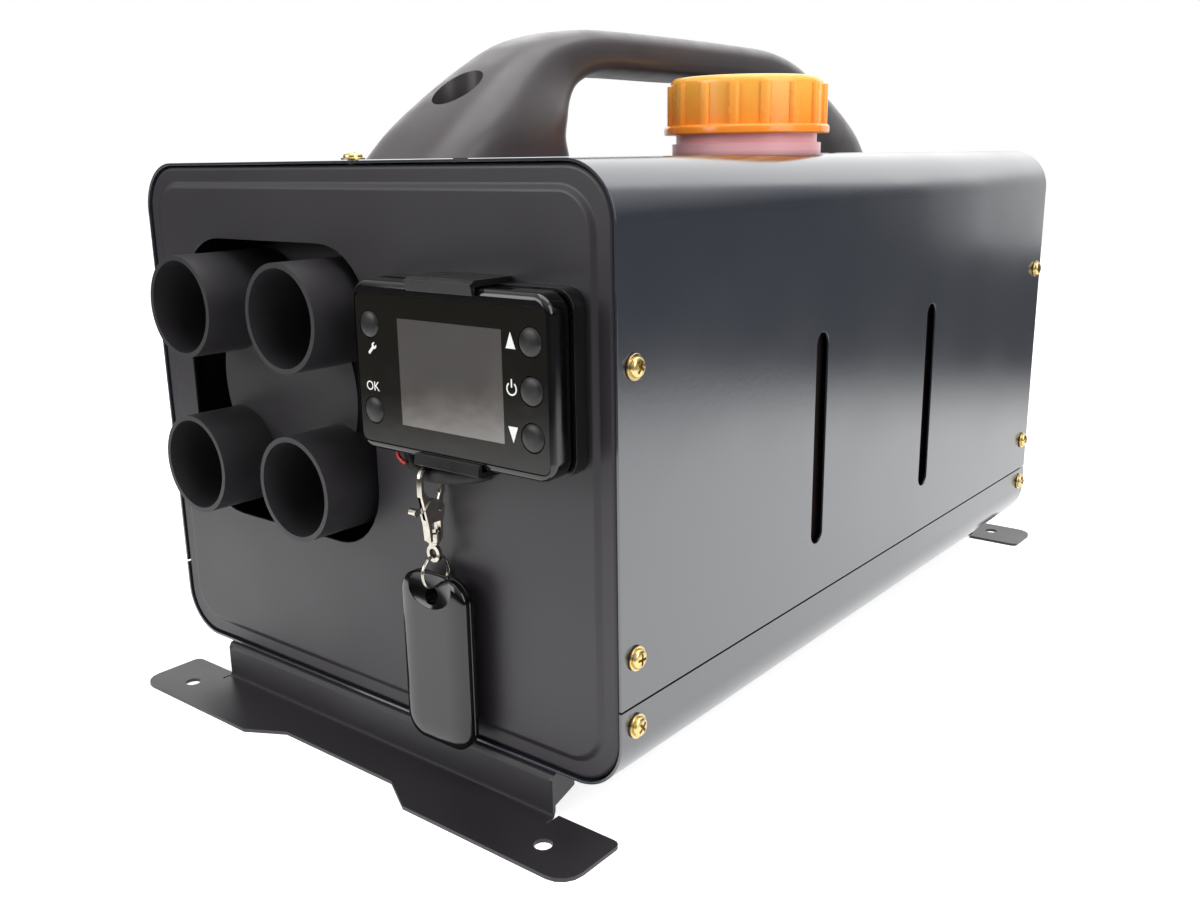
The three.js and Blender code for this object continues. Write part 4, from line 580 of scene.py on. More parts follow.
MAKE_FINISH = {
    "housing": lambda c: powder_coat("grey powder coat", tuple(c.housing), 0.17, 2.0, 2.2, 0.012),
    "panel": lambda c: powder_coat("black powder coat", tuple(c.panel), 0.42, 1.5, 1.4, 0.012),
    "moulded": lambda c: moulded_plastic("textured black nylon", tuple(c.moulded), 0.5, 0.5, 0.03),
    "grip": lambda c: moulded_plastic("textured black ABS", tuple(c.grip), 0.36, 0.7, 0.03, "403a3d"),
    "tray": lambda c: moulded_plastic("plain black ABS", tuple(c.tray), 0.3, 0.5, 0.02, "151516"),
    "gloss": lambda c: polished_plastic("polished black ABS", tuple(c.gloss)),
    "window": window_plastic,
    "screen": lambda c: polished_plastic("display glass", tuple(c.screen), 0.12),
    "ink": printed_white,
    "key": lambda c: soft_rubber("black silicone", linear("141415"), 0.38),
    "hose": lambda c: soft_rubber("black nitrile rubber", linear("171718"), 0.6),
    "wire": lambda c: polished_plastic("red wire sheath", linear("b3161c"), 0.3),
    "zinc": lambda c: plated_steel("yellow zinc plate", tuple(c.zinc), linear("b7a58a"), 0.25),
    "dark_zinc": lambda c: plated_steel("black zinc plate", linear("303032"), linear("454547"), 0.35),
    "nickel": lambda c: plated_steel("bright nickel plate", linear("c2bdb3"), linear("a8a298"), 0.14),
    "cap": cap_plastic,
    "tank": tank_plastic,
    "cast": lambda c: plain_metal("cast aluminium", linear("a4a6a8"), 0.5, 0.8),
    "stainless": lambda c: plain_metal("stainless steel", linear("b0aca6"), 0.3, 6),
    "board": lambda c: polished_plastic("green solder resist", linear("1d5a38"), 0.3),
    "floor": floor_surface,
    "wall": wall_surface,
}


# ---------------------------------------------------------------- housing
HOUSING_CORNER_MM = 20.5
SHEET_MM = 1.0
PANEL_SHEET_MM = 1.2
FIELD_CORNER_MM = 14.5
PANEL_RIM_MM = 7.5
PANEL_EDGE_MM = 1.5  # housing's skin to the panel's edge
OPENING_MM = 120.0
OPENING_CORNER_MM = 26.7
SLOT_WIDTH_MM = 10.0
SLOT_LENGTH_MM = 90.5
SLOT_PLACES_MM = (-63.0, 46.6)
SLOT_HEIGHT_MM = 120.5
HEATER_X_MM = -46.7
HEATER_HEIGHT_MM = 145.3
TANK_AXIS_MM = (69.5, -25.0)
NECK_HOLE_MM = 33.7
GRILLE_MM = 96.0
GRILLE_SLOTS = 8
GRILLE_SLOT_MM = 6.0
PIPE_HOLES_MM = ((-62.0, 50.0, 12.5), (-25.0, 50.0, 11.5), (62.0, 50.0, 7.8))  # x, height, radius


def channel_outline(half_width, base, crown, corner, sheet, steps=14):
    """A sheet over two round corners; its legs end at base and its crown is at the height crown."""
    up = 1 if crown > base else -1
    turn = crown - up * corner
    outer = arc((half_width - corner, turn), corner, 0, up * 90, steps)
    outer += arc((corner - half_width, turn), corner, up * 90, up * 180, steps)
    inner = arc((corner - half_width, turn), corner - sheet, up * 180, up * 90, steps)
    inner += arc((half_width - corner, turn), corner - sheet, up * 90, 0, steps)
    points = [(half_width, base), *outer, (-half_width, base), (sheet - half_width, base), *inner]
    return [*points, (half_width - sheet, base)]


def make_cover():
    low, high, _ = box_of("upper_cover")
    corner, sheet = mm(HOUSING_CORNER_MM, SHEET_MM)
    outline = channel_outline(high.x, low.z, high.z, corner, sheet)
    cover = prism("cover", "y", outline, low.y, high.y)
    cutters = [cylinder("neck_hole", "z", mm(*TANK_AXIS_MM), mm(NECK_HOLE_MM), high.z - corner, high.z + corner)]
    for place in SLOT_PLACES_MM:
        width, length, half = mm(SLOT_WIDTH_MM, SLOT_LENGTH_MM, SLOT_WIDTH_MM / 2 - 0.01)
        slot = rounded_outline(width, length, half, mm(place, SLOT_HEIGHT_MM))
        cutters.append(prism("slot", "x", slot, high.x - corner / 2, high.x + corner / 2))
    combine(cover, cutters)
    soften(cover, bpy.context.scene.heater_sizes.sheet_edge / mm(1))
    return settle(cover, finish("housing"), nodes=["upper_cover"])


def make_pan():
    """The pan, with the joggled flange that its cover laps over."""
    low, high, _ = box_of("bottom_pan")
    corner, sheet = mm(HOUSING_CORNER_MM, SHEET_MM)
    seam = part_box("upper_cover")[0].z - mm(0.8)
    pan = prism("pan", "y", channel_outline(high.x, seam, low.z, corner, sheet), low.y, high.y)
    laps = []
    outside = high.x - sheet - mm(0.3)
    for side in (-1, 1):
        points = [(high.x, -1), (high.x, 0), (outside, 0), (outside, 8.6), (outside - sheet, 8.6), (outside - sheet, -1)]
        lap = [(side * x, seam + mm(height)) for x, height in points]
        laps.append(prism("lap", "y", lap, low.y + mm(22), high.y - mm(22)))
    combine(pan, laps, "UNION")
    soften(pan, bpy.context.scene.heater_sizes.sheet_edge / mm(1))
    return settle(pan, finish("housing"), nodes=["bottom_pan"])


def panel_rings(bend, step_run, back):
    """Inset, depth and corner radius of the lines that a pressed panel's section runs through."""
    edge, rim = mm(PANEL_EDGE_MM, PANEL_RIM_MM)
    corner, field = mm(HOUSING_CORNER_MM - PANEL_EDGE_MM, FIELD_CORNER_MM)
    rise = mm(PANEL_SHEET_MM)
    yield edge, back, corner
    yield edge, bend, corner
    for angle in range(15, 91, 15):
        turn = math.radians(angle)
        run = bend * (1 - math.cos(turn))
        yield edge + run, bend * (1 - math.sin(turn)), corner - run
    for i in range(9):
        share = i / 8
        blend = share * share * (3 - 2 * share)
        inset = edge + rim - step_run / 2 + share * step_run
        yield inset, -rise * blend, field + step_run / 2 - share * step_run


def make_panel(name, node, holes):
    """A pressed panel; its end of the housing is read from its node, and holes are outlines seen from outside."""
    sizes = bpy.context.scene.heater_sizes
    low, high, middle = box_of(node)
    outward = -1 if middle.y < 0 else 1
    front = (low.y if outward < 0 else high.y) - outward * mm(PANEL_SHEET_MM)
    depth = high.y - low.y - mm(PANEL_SHEET_MM)
    cover_low, cover_high, _ = box_of("upper_cover")
    pan_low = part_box("bottom_pan")[0]
    width = cover_high.x - cover_low.x
    height = cover_high.z - pan_low.z
    centre = (0, (cover_high.z + pan_low.z) / 2)

    def build(bm):
        rows = []
        for inset, back, corner in panel_rings(sizes.panel_bend, sizes.step_run, depth):
            outline = rounded_outline(width - 2 * inset, height - 2 * inset, corner, centre, 10)
            rows.append([bm.verts.new((u, front - outward * back, v)) for u, v in outline])
        for lower, upper in zip(rows, rows[1:]):
            bridge(bm, lower, upper)
        field = rows[-1][0].co.y
        rings = [[bm.verts.new((u, field, v)) for u, v in hole] for hole in holes]
        flat_faces(bm, [rows[-1], *rings])

    panel = mesh_object(name, build)
    face = max(panel.data.polygons, key=lambda polygon: polygon.area)
    if face.normal.y * outward < 0:
        panel.data.flip_normals()
    thick = panel.modifiers.new("sheet", "SOLIDIFY")
    thick.thickness = mm(PANEL_SHEET_MM)
    thick.offset = -1
    bake_modifiers(panel)
    soften(panel, sizes.sheet_edge / mm(1), angle=50)
    return settle(panel, finish("panel"), nodes=[node])


def grille_holes():
    """Rows of slots whose ends lie on a circle, in front of the fan."""
    pitch = GRILLE_MM / GRILLE_SLOTS
    for row in range(GRILLE_SLOTS):
        rise = (row - (GRILLE_SLOTS - 1) / 2) * pitch
        length = 2 * math.sqrt((GRILLE_MM / 2) ** 2 - rise**2)
        centre = mm(HEATER_X_MM, HEATER_HEIGHT_MM + rise)
        yield rounded_outline(*mm(length, GRILLE_SLOT_MM, GRILLE_SLOT_MM / 2 - 0.01), centre, 5)


# ---------------------------------------------------------------- handle
HANDLE_AXIS_MM = 7.0
HAND_GAP_MM = 188.0
HAND_GAP_HEIGHT_MM = 34.9
GRIP_WIDTH_MM = 41.0
HANDLE_SCREW_SPAN_MM = 284.0
HANDLE_BORE_MM = 20.7
HANDLE_FLOOR_MM = 6.0
# Side view of the front half: distance in from the foot's end in mm, and share of the height.
CREST = [(0, 0), (14, 0.215), (33, 0.465), (52, 0.685), (70, 0.851), (86, 0.931), (104, 0.98), (130, 0.995)]
ARCH = [(0, 0), (-3, 0.2), (0, 0.44), (3.5, 0.62), (8, 0.78), (15.5, 0.9), (28, 0.98), (45, 1)]
FLARE = (0.1, 0.95)  # shares of the height between which the feet narrow to the grip


def smooth_path(points, steps):
    """A centripetal Catmull-Rom curve through points in a plane, with steps points to a span."""
    first = tuple(2 * a - b for a, b in zip(points[0], points[1]))
    last = tuple(2 * a - b for a, b in zip(points[-1], points[-2]))
    track = [Vector(p) for p in (first, *points, last)]
    path = []
    for p0, p1, p2, p3 in zip(track, track[1:], track[2:], track[3:]):
        knots = [0.0]
        for a, b in ((p0, p1), (p1, p2), (p2, p3)):
            knots.append(knots[-1] + max((b - a).length, 1e-9) ** 0.5)
        t0, t1, t2, t3 = knots
        for i in range(steps):
            t = t1 + (t2 - t1) * i / steps
            a1 = p0 * ((t1 - t) / (t1 - t0)) + p1 * ((t - t0) / (t1 - t0))
            a2 = p1 * ((t2 - t) / (t2 - t1)) + p2 * ((t - t1) / (t2 - t1))
            a3 = p2 * ((t3 - t) / (t3 - t2)) + p3 * ((t - t2) / (t3 - t2))
            b1 = a1 * ((t2 - t) / (t2 - t0)) + a2 * ((t - t0) / (t2 - t0))
            b2 = a2 * ((t3 - t) / (t3 - t1)) + a3 * ((t - t1) / (t3 - t1))
            path.append(b1 * ((t2 - t) / (t2 - t1)) + b2 * ((t - t1) / (t2 - t1)))
    path.append(track[-2].copy())
    return path


def handle_side(points, reach, height, steps):
    front = [(inset - reach, rise * height) for inset, rise in points] + [(0.0, height)]
    whole = front + [(-y, z) for y, z in reversed(front[:-1])]
    return smooth_path(whole, steps)


def make_handle():
    low, high, _ = box_of("carrying_handle")
    steps, sides, squareness = 5, 48, 0.63
    reach = high.y / mm(1)
    crest = handle_side(CREST, reach, (high.z - low.z) / mm(1), steps)
    arch = handle_side(ARCH, HAND_GAP_MM / 2, HAND_GAP_HEIGHT_MM, steps)
    foot, grip = (high.x - low.x) / 2, mm(GRIP_WIDTH_MM / 2)
    centre, tall = mm(HANDLE_AXIS_MM), (high.z - low.z) / mm(1)

    def bulge(value):
        return math.copysign(abs(value) ** squareness, value)

    rings = []
    for outer, inner in zip(crest, arch):
        middle, half = (outer + inner) / 2, (outer - inner) / 2
        share = min(1.0, max(0.0, (outer[1] / tall - FLARE[0]) / (FLARE[1] - FLARE[0])))
        half_width = foot + (grip - foot) * share * share * (3 - 2 * share)
        ring = []
        for j in range(sides):
            angle = 2 * math.pi * j / sides
            spot = middle + half * bulge(math.sin(angle))
            across = half_width * bulge(math.cos(angle))
            ring.append((centre + across, mm(spot[0]), low.z + max(0.0, mm(spot[1]))))
        rings.append(ring)
    handle = lofted("handle", rings)
    bores = []
    for side in (-1, 1):
        place = mm(HANDLE_AXIS_MM, side * HANDLE_SCREW_SPAN_MM / 2)
        floor = low.z + mm(HANDLE_FLOOR_MM)
        bores.append(cylinder("bore", "z", place, mm(HANDLE_BORE_MM / 2), floor, high.z + mm(5)))
    combine(handle, bores)
    soften(handle, 0.9, 3, 38)
    return settle(handle, finish("grip"), nodes=["carrying_handle"])


# ---------------------------------------------------------------- screws
def cross_recess(width, depth, reach, top):
    """Two crossed bars that cut a Phillips recess into a head at the height top."""
    bars = []
    for along, across in ((reach, width), (width, reach)):
        outline = rounded_outline(along, across, width * 0.2, steps=2)
        bars.append(prism("bar", "z", outline, top - depth, top + depth))
    return bars


def pan_head(name, head_mm, height_mm, shank_mm, length_mm):
    """A pan-head screw with a thin flange, head up, seated at z = 0."""
    radius = head_mm / 2
    profile = [(0, -length_mm), (shank_mm / 2, -length_mm), (shank_mm / 2, 0.3), (radius, 0.3), (radius, 0.85)]
    profile += [(radius * 0.97, 1.0), (radius * 0.8, 1.05)]
    dome = [(0.8, 0.45), (0.77, 0.66), (0.68, 0.82), (0.52, 0.93), (0.3, 0.985), (0, 1.0)]
    profile += [(radius * r, 0.3 + height_mm * h) for r, h in dome]
    screw = turned(name, "z", (0, 0), [mm(r, z) for r, z in profile], 36)
    width = bpy.context.scene.heater_sizes.recess_width
    combine(screw, cross_recess(width, mm(1.5), mm(radius * 1.0), mm(0.3 + height_mm)))
    return shade(screw, 32)


def scatter_tree(name, material):
    """Puts a copy of one object on each vertex, turned by the vertex's own angles."""
    tree = bpy.data.node_groups.new(name, "GeometryNodeTree")
    tree.interface.new_socket("Points", in_out="INPUT", socket_type="NodeSocketGeometry")
    tree.interface.new_socket("Piece", in_out="INPUT", socket_type="NodeSocketObject")
    tree.interface.new_socket("Spin", in_out="INPUT", socket_type="NodeSocketFloat")
    tree.interface.new_socket("Pieces", in_out="OUTPUT", socket_type="NodeSocketGeometry")
    given = add_node(tree, "NodeGroupInput").outputs
    piece = add_node(tree, "GeometryNodeObjectInfo", {"Object": given["Piece"]})
    angles = add_node(tree, "GeometryNodeInputNamedAttribute", {"Name": "turn"}, data_type="FLOAT_VECTOR")
    facing = add_node(tree, "FunctionNodeEulerToRotation", {"Euler": angles.outputs[0]})
    chance = add_node(tree, "FunctionNodeRandomValue", {"Seed": 4}, data_type="FLOAT")
    spin = add_node(tree, "ShaderNodeMath", {0: chance.outputs[1], 1: given["Spin"]}, operation="MULTIPLY")
    own = add_node(tree, "ShaderNodeCombineXYZ", {"Z": spin.outputs[0]})
    twist = add_node(tree, "FunctionNodeEulerToRotation", {"Euler": own.outputs[0]})
    both = add_node(
        tree, "FunctionNodeRotateRotation", {0: facing.outputs[0], 1: twist.outputs[0]}, rotation_space="LOCAL"
    )
    copies = add_node(
        tree,
        "GeometryNodeInstanceOnPoints",
        {"Points": given["Points"], "Instance": piece.outputs["Geometry"], "Rotation": both.outputs[0]},
    )
    real = add_node(tree, "GeometryNodeRealizeInstances", {"Geometry": copies.outputs["Instances"]})
    painted = add_node(tree, "GeometryNodeSetMaterial", {"Geometry": real.outputs[0], "Material": material})
    add_node(tree, "NodeGroupOutput", {"Pieces": painted.outputs["Geometry"]})
    return tree


def set_inputs(modifier, tree, **values):
    """Sets a Geometry Nodes modifier's inputs by their names."""
    for item in tree.interface.items_tree:
        if getattr(item, "in_out", "") == "INPUT" and item.name in values:
            modifier[item.identifier] = values[item.name]


def scattered(name, spots, piece, material, spin):
    """One mesh of copies of a piece, which is used up. A spot is a place and the direction it faces."""
    mesh = bpy.data.meshes.new(name)
    mesh.from_pydata([place for place, _ in spots], [], [])
    turns = mesh.attributes.new("turn", "FLOAT_VECTOR", "POINT")
    for item, (_, facing) in zip(turns.data, spots):
        item.vector = Vector(facing).to_track_quat("Z", "Y").to_euler()
    made = bpy.data.objects.new(name, mesh)
    bpy.context.scene.collection.objects.link(made)
    tree = scatter_tree(name + "_tree", material)
    modifier = made.modifiers.new("scatter", "NODES")
    modifier.node_group = tree
    set_inputs(modifier, tree, Piece=piece, Spin=spin)
    bake_modifiers(made)
    bpy.data.objects.remove(piece)
    return shade(made, 32)


def screw_seats():
    """Place and direction of each housing screw, from its node's box."""
    seats = []
    for node in sorted(CAD_NODES):
        if not node.endswith("_screw") or "handle" in node:
            continue
        low, high, middle = box_of(node)
        if "top" in node:
            seats.append((node, (middle.x, middle.y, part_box("upper_cover")[1].z), (0, 0, 1)))
        else:
            side = 1 if middle.x > 0 else -1
            seats.append((node, (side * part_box("upper_cover")[1].x, middle.y, middle.z), (side, 0, 0)))
    return seats


# ---------------------------------------------------------------- outlets
TUBE_MM = 42.0
TUBE_WALL_MM = 2.0
TUBE_SPACING_MM = 66.8
DRUM_MM = 88.0
DRUM_FACE_MM = -195.0
PLENUM_FACE_MM = -175.0
PLENUM_MM = 114.6
PLENUM_CORNER_MM = 32.0
MANIFOLD_WALL_MM = 2.5


def make_outlets():
    low, high, _ = box_of("outlet_manifold")
    axis = (HEATER_X_MM, HEATER_HEIGHT_MM)
    step = TUBE_SPACING_MM / 2
    centres = [(axis[0] + sx * step, axis[1] + sz * step) for sx in (-1, 1) for sz in (-1, 1)]
    outline = rounded_outline(*mm(PLENUM_MM, PLENUM_MM, PLENUM_CORNER_MM), mm(*axis))
    body = prism("outlets", "y", outline, mm(PLENUM_FACE_MM), high.y)
    drum = cylinder("drum", "y", mm(*axis), mm(DRUM_MM / 2), mm(DRUM_FACE_MM), mm(PLENUM_FACE_MM + 1), 96)
    tubes = [
        cylinder("tube", "y", mm(*centre), mm(TUBE_MM / 2), low.y, mm(PLENUM_FACE_MM + 1), 80) for centre in centres
    ]
    combine(body, [drum, *tubes], "UNION")
    inner = PLENUM_MM - 2 * TUBE_WALL_MM
    hollow = rounded_outline(*mm(inner, inner, PLENUM_CORNER_MM - TUBE_WALL_MM), mm(*axis))
    behind = mm(PLENUM_FACE_MM + MANIFOLD_WALL_MM)
    cutters = [prism("hollow", "y", hollow, behind, high.y + mm(1))]
    drum_bore, drum_floor = mm(DRUM_MM / 2 - MANIFOLD_WALL_MM, DRUM_FACE_MM + MANIFOLD_WALL_MM)
    cutters.append(cylinder("drum_bore", "y", mm(*axis), drum_bore, drum_floor, behind + mm(1), 96))
    bore = mm(TUBE_MM / 2 - TUBE_WALL_MM)
    cutters += [cylinder("bore", "y", mm(*centre), bore, low.y - mm(1), behind + mm(1), 80) for centre in centres]
    combine(body, cutters)
    soften(body, 0.6, 3)
    return settle(body, finish("moulded"), nodes=["outlet_manifold"])


# ---------------------------------------------------------------- fuel cap
CAP_RADIUS_MM = 33.7
CAP_BRIM_MM = 36.5
CAP_BRIM_HEIGHT_MM = 3.8
CAP_RIBS = 16
CAP_RIB_WIDTH_MM = 4.6
CAP_RIB_DEPTH_MM = 1.8
CAP_RIB_DROP_MM = 3.4


def ribbed_tree(name, material):
    """Joins copies of a rib, spaced evenly round the Z axis of the centre, to the given body."""
    tree = bpy.data.node_groups.new(name, "GeometryNodeTree")
    tree.interface.new_socket("Body", in_out="INPUT", socket_type="NodeSocketGeometry")
    tree.interface.new_socket("Rib", in_out="INPUT", socket_type="NodeSocketObject")
    tree.interface.new_socket("Ribs", in_out="INPUT", socket_type="NodeSocketInt")
    tree.interface.new_socket("Centre", in_out="INPUT", socket_type="NodeSocketVector")
    tree.interface.new_socket("Solid", in_out="OUTPUT", socket_type="NodeSocketGeometry")
    given = add_node(tree, "NodeGroupInput").outputs
    rib = add_node(tree, "GeometryNodeObjectInfo", {"Object": given["Rib"]})
    ring = add_node(tree, "GeometryNodeMeshCircle", {"Vertices": given["Ribs"], "Radius": mm(1)})
    place = add_node(tree, "GeometryNodeInputPosition")
    facing = add_node(tree, "FunctionNodeAlignRotationToVector", {"Vector": place.outputs[0]}, axis="X")
    copies = add_node(
        tree,
        "GeometryNodeInstanceOnPoints",
        {"Points": ring.outputs[0], "Instance": rib.outputs["Geometry"], "Rotation": facing.outputs[0]},
    )
    real = add_node(tree, "GeometryNodeRealizeInstances", {"Geometry": copies.outputs["Instances"]})
    moved = add_node(tree, "GeometryNodeTransform", {"Geometry": real.outputs[0], "Translation": given["Centre"]})
    union = add_node(tree, "GeometryNodeMeshBoolean", operation="UNION", solver="EXACT")
    tree.links.new(given["Body"], union.inputs["Mesh 2"])
    tree.links.new(moved.outputs[0], union.inputs["Mesh 2"])
    whole = add_node(tree, "GeometryNodeRealizeInstances", {"Geometry": union.outputs["Mesh"]})
    painted = add_node(tree, "GeometryNodeSetMaterial", {"Geometry": whole.outputs[0], "Material": material})
    add_node(tree, "NodeGroupOutput", {"Solid": painted.outputs["Geometry"]})
    return tree


def make_cap():
    low, high, _ = box_of("fuel_cap")
    neck_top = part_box("fuel_tank")[1].z / mm(1)
    bottom, top = low.z / mm(1), high.z / mm(1)
    bore, ceiling = 31.9, neck_top + 2.4
    brim = bottom + CAP_BRIM_HEIGHT_MM
    profile = [(bore, bottom), (CAP_BRIM_MM - 0.5, bottom), (CAP_BRIM_MM, bottom + 0.5), (CAP_BRIM_MM, brim - 1.2)]
    profile += [(CAP_BRIM_MM - 0.3, brim - 0.4), (CAP_BRIM_MM - 1.0, brim), (CAP_RADIUS_MM, brim + 0.4)]
    profile.append((CAP_RADIUS_MM, top - 3))
    for angle in range(15, 91, 15):
        turn = math.radians(angle)
        profile.append((CAP_RADIUS_MM - 3 * (1 - math.cos(turn)), top - 3 * (1 - math.sin(turn))))
    profile += [(26, top), (25.4, top - 0.5), (0, top - 0.5), (0, ceiling), (bore, ceiling), (bore, bottom)]
    cap = turned("cap_shell", "z", mm(*TANK_AXIS_MM), [mm(r, z) for r, z in profile], 128)
    half = CAP_RIB_WIDTH_MM / 2
    rim = CAP_RADIUS_MM + CAP_RIB_DEPTH_MM
    outline = [(CAP_RADIUS_MM - 1, -half), (rim - 1.2, -half), (rim - 0.3, 0.6 - half), (rim, 1.4 - half)]
    outline += [(u, -v) for u, v in reversed(outline)]
    rib = prism("rib", "z", [mm(u, v) for u, v in outline], mm(brim - 0.5), mm(top - CAP_RIB_DROP_MM))
    rib.data.transform(Matrix.Translation((-mm(1), 0, 0)))
    tree = ribbed_tree("ribbed_cap", finish("cap"))
    modifier = cap.modifiers.new("ribs", "NODES")
    modifier.node_group = tree
    set_inputs(modifier, tree, Rib=rib, Ribs=CAP_RIBS, Centre=Vector((*mm(*TANK_AXIS_MM), 0)))
    bake_modifiers(cap)
    bpy.data.objects.remove(rib)
    soften(cap, 0.35, 2, 40)
    return settle(cap, finish("cap"), "cap", ["fuel_cap"])


# ---------------------------------------------------------------- controller
BEZEL_CORNER_MM = 7.0
LENS_DROP_MM = 0.8
BUTTON_RADIUS_MM = 4.8
KEY_SIGNS = {"button_settings": "settings_key", "button_ok": "ok_key", "button_up": "up_key"}
KEY_SIGNS.update({"button_power": "power_key", "button_down": "down_key"})


def key_centre(node):
    middle = box_of(node)[2]
    return middle.x, middle.z


def make_bezel():
    """The controller's front half: a frame with a soft front edge, recessed for its window."""
    low, high, middle = box_of("controller_bezel")
    edge = bpy.context.scene.heater_sizes.bezel_edge
    width, height = high.x - low.x, high.z - low.z
    sections = [(0.0, high.y)]
    for angle in range(0, 91, 15):
        turn = math.radians(angle)
        sections.append((edge * (1 - math.cos(turn)), low.y + edge * (1 - math.sin(turn))))
    rings = []
    for inset, depth in sections:
        corner = mm(BEZEL_CORNER_MM) - inset
        outline = rounded_outline(width - 2 * inset, height - 2 * inset, corner, (middle.x, middle.z), 8)
        rings.append([(u, depth, v) for u, v in outline])
    bezel = lofted("bezel", rings)
    window_low, window_high, window = box_of("display_lens")
    gap = mm(0.25)
    span = (window_high.x - window_low.x + 2 * gap, window_high.z - window_low.z + 2 * gap)
    shelf = window_high.y + mm(0.3)
    cutters = [prism("recess", "y", rounded_outline(*span, mm(3), (window.x, window.z)), low.y - mm(1), shelf)]
    wall = mm(1.6)
    hollow = rounded_outline(width - 2 * wall, height - 2 * wall, mm(5.4), (middle.x, middle.z))
    cutters.append(prism("hollow", "y", hollow, shelf + mm(1.5), high.y + mm(1)))
    for node in KEY_SIGNS:
        cutters.append(cylinder("hole", "y", key_centre(node), mm(BUTTON_RADIUS_MM + 0.35), low.y, high.y, 32))
    combine(bezel, cutters)
    soften(bezel, 0.25, 2, 40)
    return settle(bezel, finish("gloss"), nodes=["controller_bezel"])


def make_window():
    low, high, middle = box_of("display_lens")
    outline = rounded_outline(high.x - low.x, high.z - low.z, mm(3), (middle.x, middle.z))
    holes = [circle_outline(mm(BUTTON_RADIUS_MM + 0.3), key_centre(node), 40) for node in KEY_SIGNS]
    window = prism("window", "y", outline, low.y, high.y, holes)
    soften(window, 0.2, 2)
    return settle(window, finish("window"), nodes=["display_lens"])


def make_key(node, body):
    """A domed key with a flat collar round its foot."""
    low, high, _ = box_of(node)
    radius = BUTTON_RADIUS_MM
    crown = low.y / mm(1)
    foot = high.y / mm(1)
    profile = [(0, foot), (radius + 1, foot), (radius + 1, foot - 1), (radius, foot - 1), (radius, crown + 1.35)]
    profile += [(radius * 0.97, crown + 1.05), (radius * 0.9, crown + 0.75), (radius * 0.78, crown + 0.48)]
    profile += [(radius * 0.6, crown + 0.25), (radius * 0.35, crown + 0.08), (0, crown)]
    key = turned(node + "_finish", "y", key_centre(node), [mm(r, y) for r, y in profile], 40)
    shade(key, 45)
    return settle(key, finish("key"), body, [node])


def flat_sign(name, outline, holes=()):
    """A thin printed shape on the window; its points are (x, z) in the part's frame."""
    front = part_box("display_lens")[0].y
    return prism(name, "y", outline, front - mm(0.05), front + mm(0.02), holes)


def letters(name, words, centre, height):
    """Words as a thin mesh on the window."""
    curve = bpy.data.curves.new(name, "FONT")
    curve.body = words
    curve.size = height / 0.7
    curve.align_x = "CENTER"
    curve.align_y = "CENTER"
    curve.extrude = mm(0.03)
    holder = bpy.data.objects.new(name + "_text", curve)
    bpy.context.scene.collection.objects.link(holder)
    bpy.context.view_layer.update()
    mesh = bpy.data.meshes.new_from_object(holder.evaluated_get(bpy.context.evaluated_depsgraph_get()))
    bpy.data.objects.remove(holder)
    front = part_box("display_lens")[0].y
    upright = Matrix.Rotation(math.radians(90), 4, "X")
    mesh.transform(Matrix.Translation((centre[0], front - mm(0.02), centre[1])) @ upright)
    made = bpy.data.objects.new(name, mesh)
    bpy.context.scene.collection.objects.link(made)
    return made


def wrench_outline(centre, length, turn):
    """An open-ended wrench: a bar with a forked round head."""
    head, bar, jaw = length * 0.24, length * 0.1, length * 0.1
    points = [(-length * 0.45, -bar), (length * 0.2, -bar)]
    points += arc((length * 0.36, 0), head, -150, -25, 8)
    points += [(length * 0.36, -jaw), (length * 0.36, jaw)]
    points += arc((length * 0.36, 0), head, 25, 150, 8)
    points += [(length * 0.2, bar), (-length * 0.45, bar)]
    c, s = math.cos(turn), math.sin(turn)
    return [(centre[0] + u * c - v * s, centre[1] + u * s + v * c) for u, v in points]


def make_signs():
    """The symbols beside the keys, printed in white."""
    signs = []
    for node, up in (("button_up", 1), ("button_down", -1)):
        x, z = key_centre(node)
        x -= mm(8.4)
        half, rise = mm(2.1, 2.7 * up)
        points = [(x - half, z - rise), (x + half, z - rise), (x, z + rise)]
        signs.append(flat_sign(node.replace("button", "sign"), points))
    x, z = key_centre("button_power")
    x -= mm(8.5)
    radius, stroke = mm(2.3), mm(0.55)
    ring = arc((x, z), radius, 125, 415, 24) + arc((x, z), radius - stroke, 415, 125, 24)
    signs.append(flat_sign("sign_power", ring))
    half, foot, tip = stroke / 2, z + mm(0.4), z + mm(3.2)
    signs.append(flat_sign("sign_power_bar", [(x - half, foot), (x + half, foot), (x + half, tip), (x - half, tip)]))
    x, z = key_centre("button_settings")
    wrench = wrench_outline((x + mm(0.6), z - mm(8.8)), mm(5.0), math.radians(45))
    signs.append(flat_sign("sign_wrench", wrench))
    x, z = key_centre("button_ok")
    signs.append(letters("sign_ok", "OK", (x, z + mm(8.6)), mm(3.3)))
    for sign in signs:
        settle(sign, finish("ink"))
    return signs


# ---------------------------------------------------------------- cable, clasp, ring and remote
CHAIN_MM = (51.5, -208.4, 125.5)
CABLE_RADIUS_MM = 2.5
RING_RADIUS_MM = 6.3
REMOTE_CORNER_MM = 9.0
DISH_RADIUS_MM, DISH_DEPTH_MM, DISH_DROP_MM = 14.0, 3.0, -1.5
REMOTE_SIDE_MM = 1.2  # upright part of each half's side


